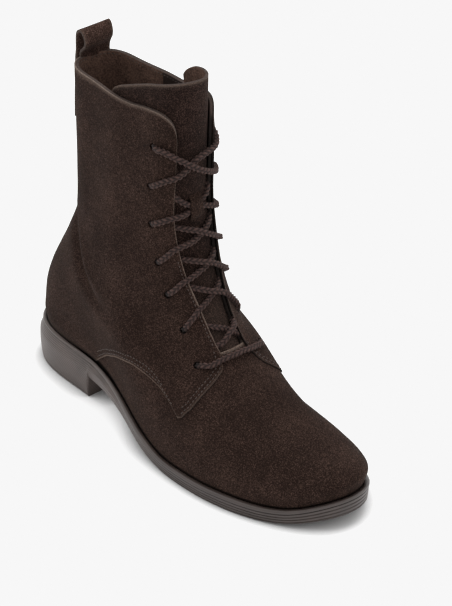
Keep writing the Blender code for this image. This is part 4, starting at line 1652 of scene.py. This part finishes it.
@dataclass
class Lacing:
    """Round braided lace: the lowest bar and the crossings above it, each with its lower run first."""

    last: Last
    upper: Upper
    bar: LaceRun = BAR
    crossings: tuple[tuple[LaceRun, LaceRun], ...] = CROSSINGS
    radius: float = 2.0
    plaits: int = 4
    pitch: float = 3.0
    relief: float = 0.75
    slope: float = 4.4
    slow_loose: Span = (0.4, 0.9)
    quick_loose: Span = (0.3, 2.3)
    fullness: float = 0.8
    hollow: float = 2.6
    around: int = 24
    row: float = 0.45
    route_points: int = 260
    hole_depth: float = -4.5
    hole_rest: float = -0.4
    rest_after: float = 0.3
    lie: float = 2.7
    lie_after: float = 5.0
    painted_eyelet_shade: Span = (4.0, 8.0)
    painted_eyelet_shade_floor: float = -0.4

    def end_marks(self, side: Side, index: int, towards: Sequence[float]) -> Marks:
        """Marks where the lace slips out of an eyelet.

        Args:
            side: Side of the foot.
            index: Count of the eyelet from the top.
            towards: Next mark of the run.

        Returns:
            Marks from the inside out.
        """
        level, degrees = self.upper.holes(side)[index]
        here = np.array((side.value * degrees, level))
        ahead = np.array(towards[:2])
        spots = self.last.form(np.radians([here[0], ahead[0]]), np.array([level, ahead[1]]))
        step = (ahead - here) / np.linalg.norm(spots[1] - spots[0])
        return ((*(here - step), self.hole_depth), (*(here + step * self.rest_after), self.hole_rest),
                (*(here + step * self.lie_after), self.lie))

    def marks(self, run: LaceRun) -> Array:
        """All marks of a run.

        Args:
            run: Run of the lace.

        Returns:
            Its own marks and those at its eyelets.
        """
        made = list(run.marks)
        if run.start:
            made = list(self.end_marks(*run.start, run.marks[0])) + made
        if run.end:
            made += reversed(self.end_marks(*run.end, run.marks[-1]))
        return np.array(made)

    def plait(self, turn: Array, length: Array) -> Array:
        """Height of the braid, a little uneven along the cord.

        Args:
            turn: Turn round the cord in radians.
            length: Length along the cord.

        Returns:
            Height from 0 to 1.
        """
        column = turn / (2 * math.pi) * self.plaits
        odd = np.floor(column) % 2
        place = column - np.floor(column) - 0.5
        slow, slow_rate = self.slow_loose
        quick, quick_rate = self.quick_loose
        loose = slow * np.sin(length * slow_rate) + quick * np.sin(length * quick_rate + 2 * turn)
        slant = (1 - 2 * odd) * place * self.slope
        wave = 0.5 + 0.5 * np.cos(2 * math.pi * length / self.pitch + math.pi * odd + slant + loose)
        return wave ** self.fullness * (1 - self.hollow * place * place)

    def add_run(self, sheet: Sheet, run: LaceRun) -> None:
        """Add the cord of a run, with painted shade between its plaits and where it slips into an eyelet.

        Args:
            sheet: Mesh that takes it.
            run: Run of the lace.
        """
        marks = self.marks(run)
        chord = run_length(self.last.on(np.radians(marks[:, 0]), marks[:, 1], marks[:, 2]))
        fine = smooth(chord, marks, np.linspace(0, chord[-1], self.route_points))
        line = self.last.on(np.radians(fine[:, 0]), fine[:, 1], fine[:, 2])
        length = run_length(line)
        at = np.linspace(0, length[-1], int(length[-1] / self.row) + 1)
        line = read_along(length, line, at)
        spots = read_along(length, fine[:, :2], at)
        ahead = unit(np.gradient(line, axis=0))
        out = self.last.normal(np.radians(spots[:, 0]), spots[:, 1])
        aside = unit(np.cross(ahead, out))
        up = np.cross(aside, ahead)
        turn = np.linspace(0, 2 * math.pi, self.around + 1)
        height = self.plait(turn[None, :], at[:, None])
        reach = self.radius - self.relief + self.relief * height
        reach[[0, -1]] = 0.0
        ring = up[:, None] * np.cos(turn)[None, :, None] + aside[:, None] * np.sin(turn)[None, :, None]
        # Painted shade towards the eyelets, where the cord slips in; the plait number also darkens the
        # troughs between plaits as painted shade.
        lit = np.ones(len(at))
        if run.start:
            lit = np.minimum(lit, np.interp(at, self.painted_eyelet_shade, (0.0, 1.0)))
        if run.end:
            lit = np.minimum(lit, np.interp(at[-1] - at, self.painted_eyelet_shade, (0.0, 1.0)))
        plait = (height - self.painted_eyelet_shade_floor) * lit[:, None] + self.painted_eyelet_shade_floor
        sheet.add(line[:, None] + ring * reach[..., None], plait=plait)

    def build_cord(self, name: str, runs: Sequence[LaceRun], node: str, palette: Palette) -> None:
        """Make one piece of lace.

        Args:
            name: Name of the piece.
            runs: Its runs.
            node: Solid that it stands for.
            palette: Materials of the boot.
        """
        sheet = Sheet(self.last, ("plait",))
        for run in runs:
            self.add_run(sheet, run)
        sheet.weld(outward=True)
        register(sheet.piece(name, palette.braid), "lace_cord", node)

    def build(self, palette: Palette) -> None:
        """Make the bar and every crossing.

        Args:
            palette: Materials of the boot.
        """
        self.build_cord("bar_cord", (self.bar,), "lace_bar", palette)
        for number, runs in enumerate(self.crossings, 1):
            self.build_cord("crossing_cord_%d" % number, runs, "lace_cross_%d" % number, palette)


@dataclass
class Stitching:
    """Rows of thread along the seams and edges of the upper."""

    last: Last
    upper: Upper
    length: float = 1.7
    pitch: float = 2.5
    first: float = 0.5
    thick: float = 0.34
    flat: float = 0.8
    sides: tuple[int, int] = (6, 4)
    near: float = 1.8
    far: float = 4.2
    sunk: float = 0.28
    reach: float = 0.9
    reach_steps: int = 60
    least_slope: float = 0.45
    corner: float = 0.03
    point_clear: float = 0.003
    heel_clear: float = 0.01
    front_points: int = 90
    rear_points: int = 120
    throat_from: float = 0.1
    throat_top: float = 6.4
    throat_radius: float = 31.0
    throat_points: int = 60
    collar_gap: float = 2.6
    collar_span: Span = (0.02, 0.93)
    collar_points: int = 200
    inner_gap: float = 1.8
    inner_span: Span = (0.3, 0.99)
    inner_points: int = 160
    vamp_width: float = 0.95
    vamp_below: float = 0.045
    vamp_points: int = 40

    def inward(self, side: Side, share: Array, edge: Edge, gap: float) -> tuple[Array, Array]:
        """Places at a distance in from an edge of a quarter.

        Args:
            side: Side of the foot.
            share: Columns of the quarter.
            edge: Edge of the quarter.
            gap: Distance in from the edge.

        Returns:
            Angles and levels.
        """
        upper = self.upper
        start = upper.quarter_level(share, side) if edge is Edge.LOWER else upper.collar_level(share)
        level = start + edge.value * np.linspace(0, self.reach, self.reach_steps)[:, None]
        angle = side.value * upper.side_angle(np.broadcast_to(share, level.shape), level)
        points = self.last.form(angle, level)
        up = run_length(points)
        run = unit(np.gradient(points[0], axis=0))
        climb = unit(points[2] - points[0])
        slope = np.maximum(np.linalg.norm(np.cross(run, climb), axis=-1), self.least_slope)
        reach = np.array([np.interp(gap / s, up[:, i], level[:, i]) for i, s in enumerate(slope)])
        return side.value * upper.side_angle(share, reach), reach

    def row(self, work: bmesh.types.BMesh, angle: Array, level: Array, out: float) -> None:
        """Lay stitches along a row of places.

        Args:
            work: Mesh that takes the stitches.
            angle: Angles of the row.
            level: Levels of the row.
            out: Distance out of the leather under it.
        """
        line = self.last.on(angle, level, out)
        length = run_length(line)
        half = self.length / 2
        size = Matrix.Diagonal((half * MM, self.thick * MM, self.thick * self.flat * MM, 1.0))
        around, along = self.sides
        for start in np.arange(self.first, length[-1] - self.length, self.pitch):
            middle = read_along(length, line, start + half)
            run = read_along(length, line, start + self.length) - read_along(length, line, start)
            spot = read_along(length, np.stack([angle, level], -1), start + half)
            up = Vector(self.last.normal(spot[0], spot[1]))
            ahead = Vector(run).normalized()
            aside = up.cross(ahead).normalized()
            turn = Matrix((ahead, aside, ahead.cross(aside))).transposed().to_4x4()
            bmesh.ops.create_uvsphere(work, u_segments=around, v_segments=along, radius=1.0,
                                      matrix=Matrix.Translation(self.last.metres(middle)) @ turn @ size)

    def sew_quarter(self, side: Side, palette: Palette) -> None:
        """Sew the seams of a quarter, its throat edge and both faces of the collar.

        Args:
            side: Side of the foot.
            palette: Materials of the boot.
        """
        upper = self.upper
        point = upper.share_of(upper.quarter_rear[0][0])
        heel = upper.share_of(upper.quarter_rear[-1][0])
        work = bmesh.new()
        for gap in (self.near, self.far):
            clear = self.point_clear * gap
            front = np.linspace(self.corner, point - clear, self.front_points)
            rear = np.linspace(point + clear, heel - self.heel_clear, self.rear_points)
            for share in (front, rear):
                self.row(work, *self.inward(side, share, Edge.LOWER, gap), upper.step)
        level = np.linspace(upper.throat_level + self.throat_from, self.throat_top, self.throat_points)
        angle = side.value * (upper.throat_angle(level) + self.near / self.throat_radius)
        self.row(work, angle, level, upper.step)
        share = np.linspace(*self.collar_span, self.collar_points)
        self.row(work, *self.inward(side, share, Edge.COLLAR, self.collar_gap), upper.step - self.sunk)
        share = np.linspace(*self.inner_span, self.inner_points)
        self.row(work, *self.inward(side, share, Edge.COLLAR, self.inner_gap), -upper.wall)
        register(make_object("stitches_" + side.name.lower(), work, (palette.thread,)), "suede")

    def build(self, palette: Palette) -> None:
        """Sew both quarters and the edge of the vamp.

        Args:
            palette: Materials of the boot.
        """
        for side in Side:
            self.sew_quarter(side, palette)
        upper = self.upper
        half = float(upper.throat_angle(np.array(upper.throat_level))) * self.vamp_width
        angle = np.linspace(-half, half, self.vamp_points)
        work = bmesh.new()
        self.row(work, angle, upper.throat_level - self.vamp_below + upper.bow_at(angle), 0.0)
        register(make_object("stitches_vamp", work, (palette.thread,)), "suede")


@dataclass(frozen=True)
class Lamp:
    """Soft square light: azimuth and elevation counted as the camera's, side length and power."""

    name: str
    azimuth: float
    elevation: float
    size: float
    power: float


LAMPS = (
    Lamp("key", -165.0, 55.0, 1.2, 10.0),
    Lamp("side", -40.0, 42.0, 1.2, 6.0),
    Lamp("top", 48.0, 86.0, 1.2, 5.0),
    Lamp("fill", 100.0, 50.0, 1.0, 4.0),
)


@dataclass
class Studio:
    """Pale floor, soft light and the camera at the photo's angle."""

    azimuth: float = 48.3
    elevation: float = 31.5
    distance: float = 2.0
    lens: float = 206.0
    clip_end: float = 50.0
    target: tuple[float, float, float] = (0.0264, 0.0017, 0.100)
    lamps: tuple[Lamp, ...] = LAMPS
    lamp_distance: float = 1.6
    floor_size: float = 12.0
    sky: float = 0.9
    paint: float = 0.7
    glow: float = 0.5
    shadow_reach: float = 18.0
    shadow_span: Span = (0.5, 0.8)
    shadow_samples: int = 16
    white: float = 0.93

    def aim(self, item: bpy.types.Object, azimuth: float, elevation: float, distance: float) -> None:
        """Put a camera or lamp round the boot and turn it to the target.

        Args:
            item: Camera or lamp.
            azimuth: Azimuth in degrees.
            elevation: Height above the horizon in degrees.
            distance: Distance in metres.
        """
        a = math.radians(azimuth)
        e = math.radians(elevation)
        back = Vector((math.sin(a) * math.cos(e), -math.cos(a) * math.cos(e), math.sin(e)))
        item.location = Vector(self.target) + back * distance
        item.rotation_euler = (-back).to_track_quat("-Z", "Y").to_euler()

    def place_camera(self) -> None:
        """Make the camera."""
        data = bpy.data.cameras.new("camera")
        data.lens = self.lens
        data.clip_end = self.clip_end
        item = link("camera", data)
        self.aim(item, self.azimuth, self.elevation, self.distance)
        bpy.context.scene.camera = item

    def place_lamps(self) -> None:
        """Make the lamps."""
        for lamp in self.lamps:
            data = bpy.data.lights.new(lamp.name, "AREA")
            data.size = lamp.size
            data.energy = lamp.power
            self.aim(link(lamp.name, data), lamp.azimuth, lamp.elevation, self.lamp_distance)

    def place_floor(self) -> None:
        """Make the floor, whose glow is cut where the boot stands close over it, as a painted contact
        shadow.
        """
        shader = Shader("floor_paint")
        # Painted contact shadow: the floor's glow fades with the occlusion near the boot.
        near = shader.node("ShaderNodeAmbientOcclusion", {"samples": self.shadow_samples},
                           {"Distance": self.shadow_reach * MM})
        open_share = Value(shader, near.outputs["AO"]).between(*self.shadow_span)
        lit = shader.mix(open_share, (0.0, 0.0, 0.0), (1.0, 1.0, 1.0))
        paint = shader.finish(Base_Color=(self.paint,) * 3, Roughness=0.9, Specular_IOR_Level=0.0,
                              Emission_Color=lit, Emission_Strength=self.glow)
        work = bmesh.new()
        bmesh.ops.create_grid(work, x_segments=1, y_segments=1, size=self.floor_size / 2)
        make_object("floor", work, (paint,), soft=False)

    def set_white_level(self) -> None:
        """Let the brightest tones of the picture end at the pale grey of the backdrop."""
        view = bpy.context.scene.view_settings
        view.view_transform = "Standard"
        view.use_curve_mapping = True
        view.curve_mapping.extend = "HORIZONTAL"
        view.curve_mapping.curves[3].points[1].location = (1.0, self.white)
        view.curve_mapping.update()

    def build(self) -> None:
        """Set up sky, floor, lamps and camera."""
        world = bpy.data.worlds.new("studio")
        world.use_nodes = True
        sky = world.node_tree.nodes["Background"].inputs
        sky["Color"].default_value = (1.0, 1.0, 1.0, 1.0)
        sky["Strength"].default_value = self.sky
        bpy.context.scene.world = world
        self.set_white_level()
        self.place_floor()
        self.place_lamps()
        self.place_camera()


def main() -> None:
    """Build every piece round the frame."""
    logging.basicConfig(level=logging.INFO, format="%(message)s")
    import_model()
    last = Last()
    sole = Outsole(last)
    edge = sole.outline(np.linspace(-math.pi, math.pi, 721))
    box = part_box("outsole")
    middle = (box[0].y + box[1].y) / 2 / MM
    last.shift = np.array([0.0, middle - (edge[:, 1].min() + edge[:, 1].max()) / 2, 0.0])
    palette = Palette.mixed()
    upper = Upper(last)
    for part in (sole, Footbed(last), upper, Tongue(last), PullLoop(last), Lacing(last, upper),
                 Stitching(last, upper)):
        part.build(palette)
    Studio().build()


if __name__ == "__main__":
    main()
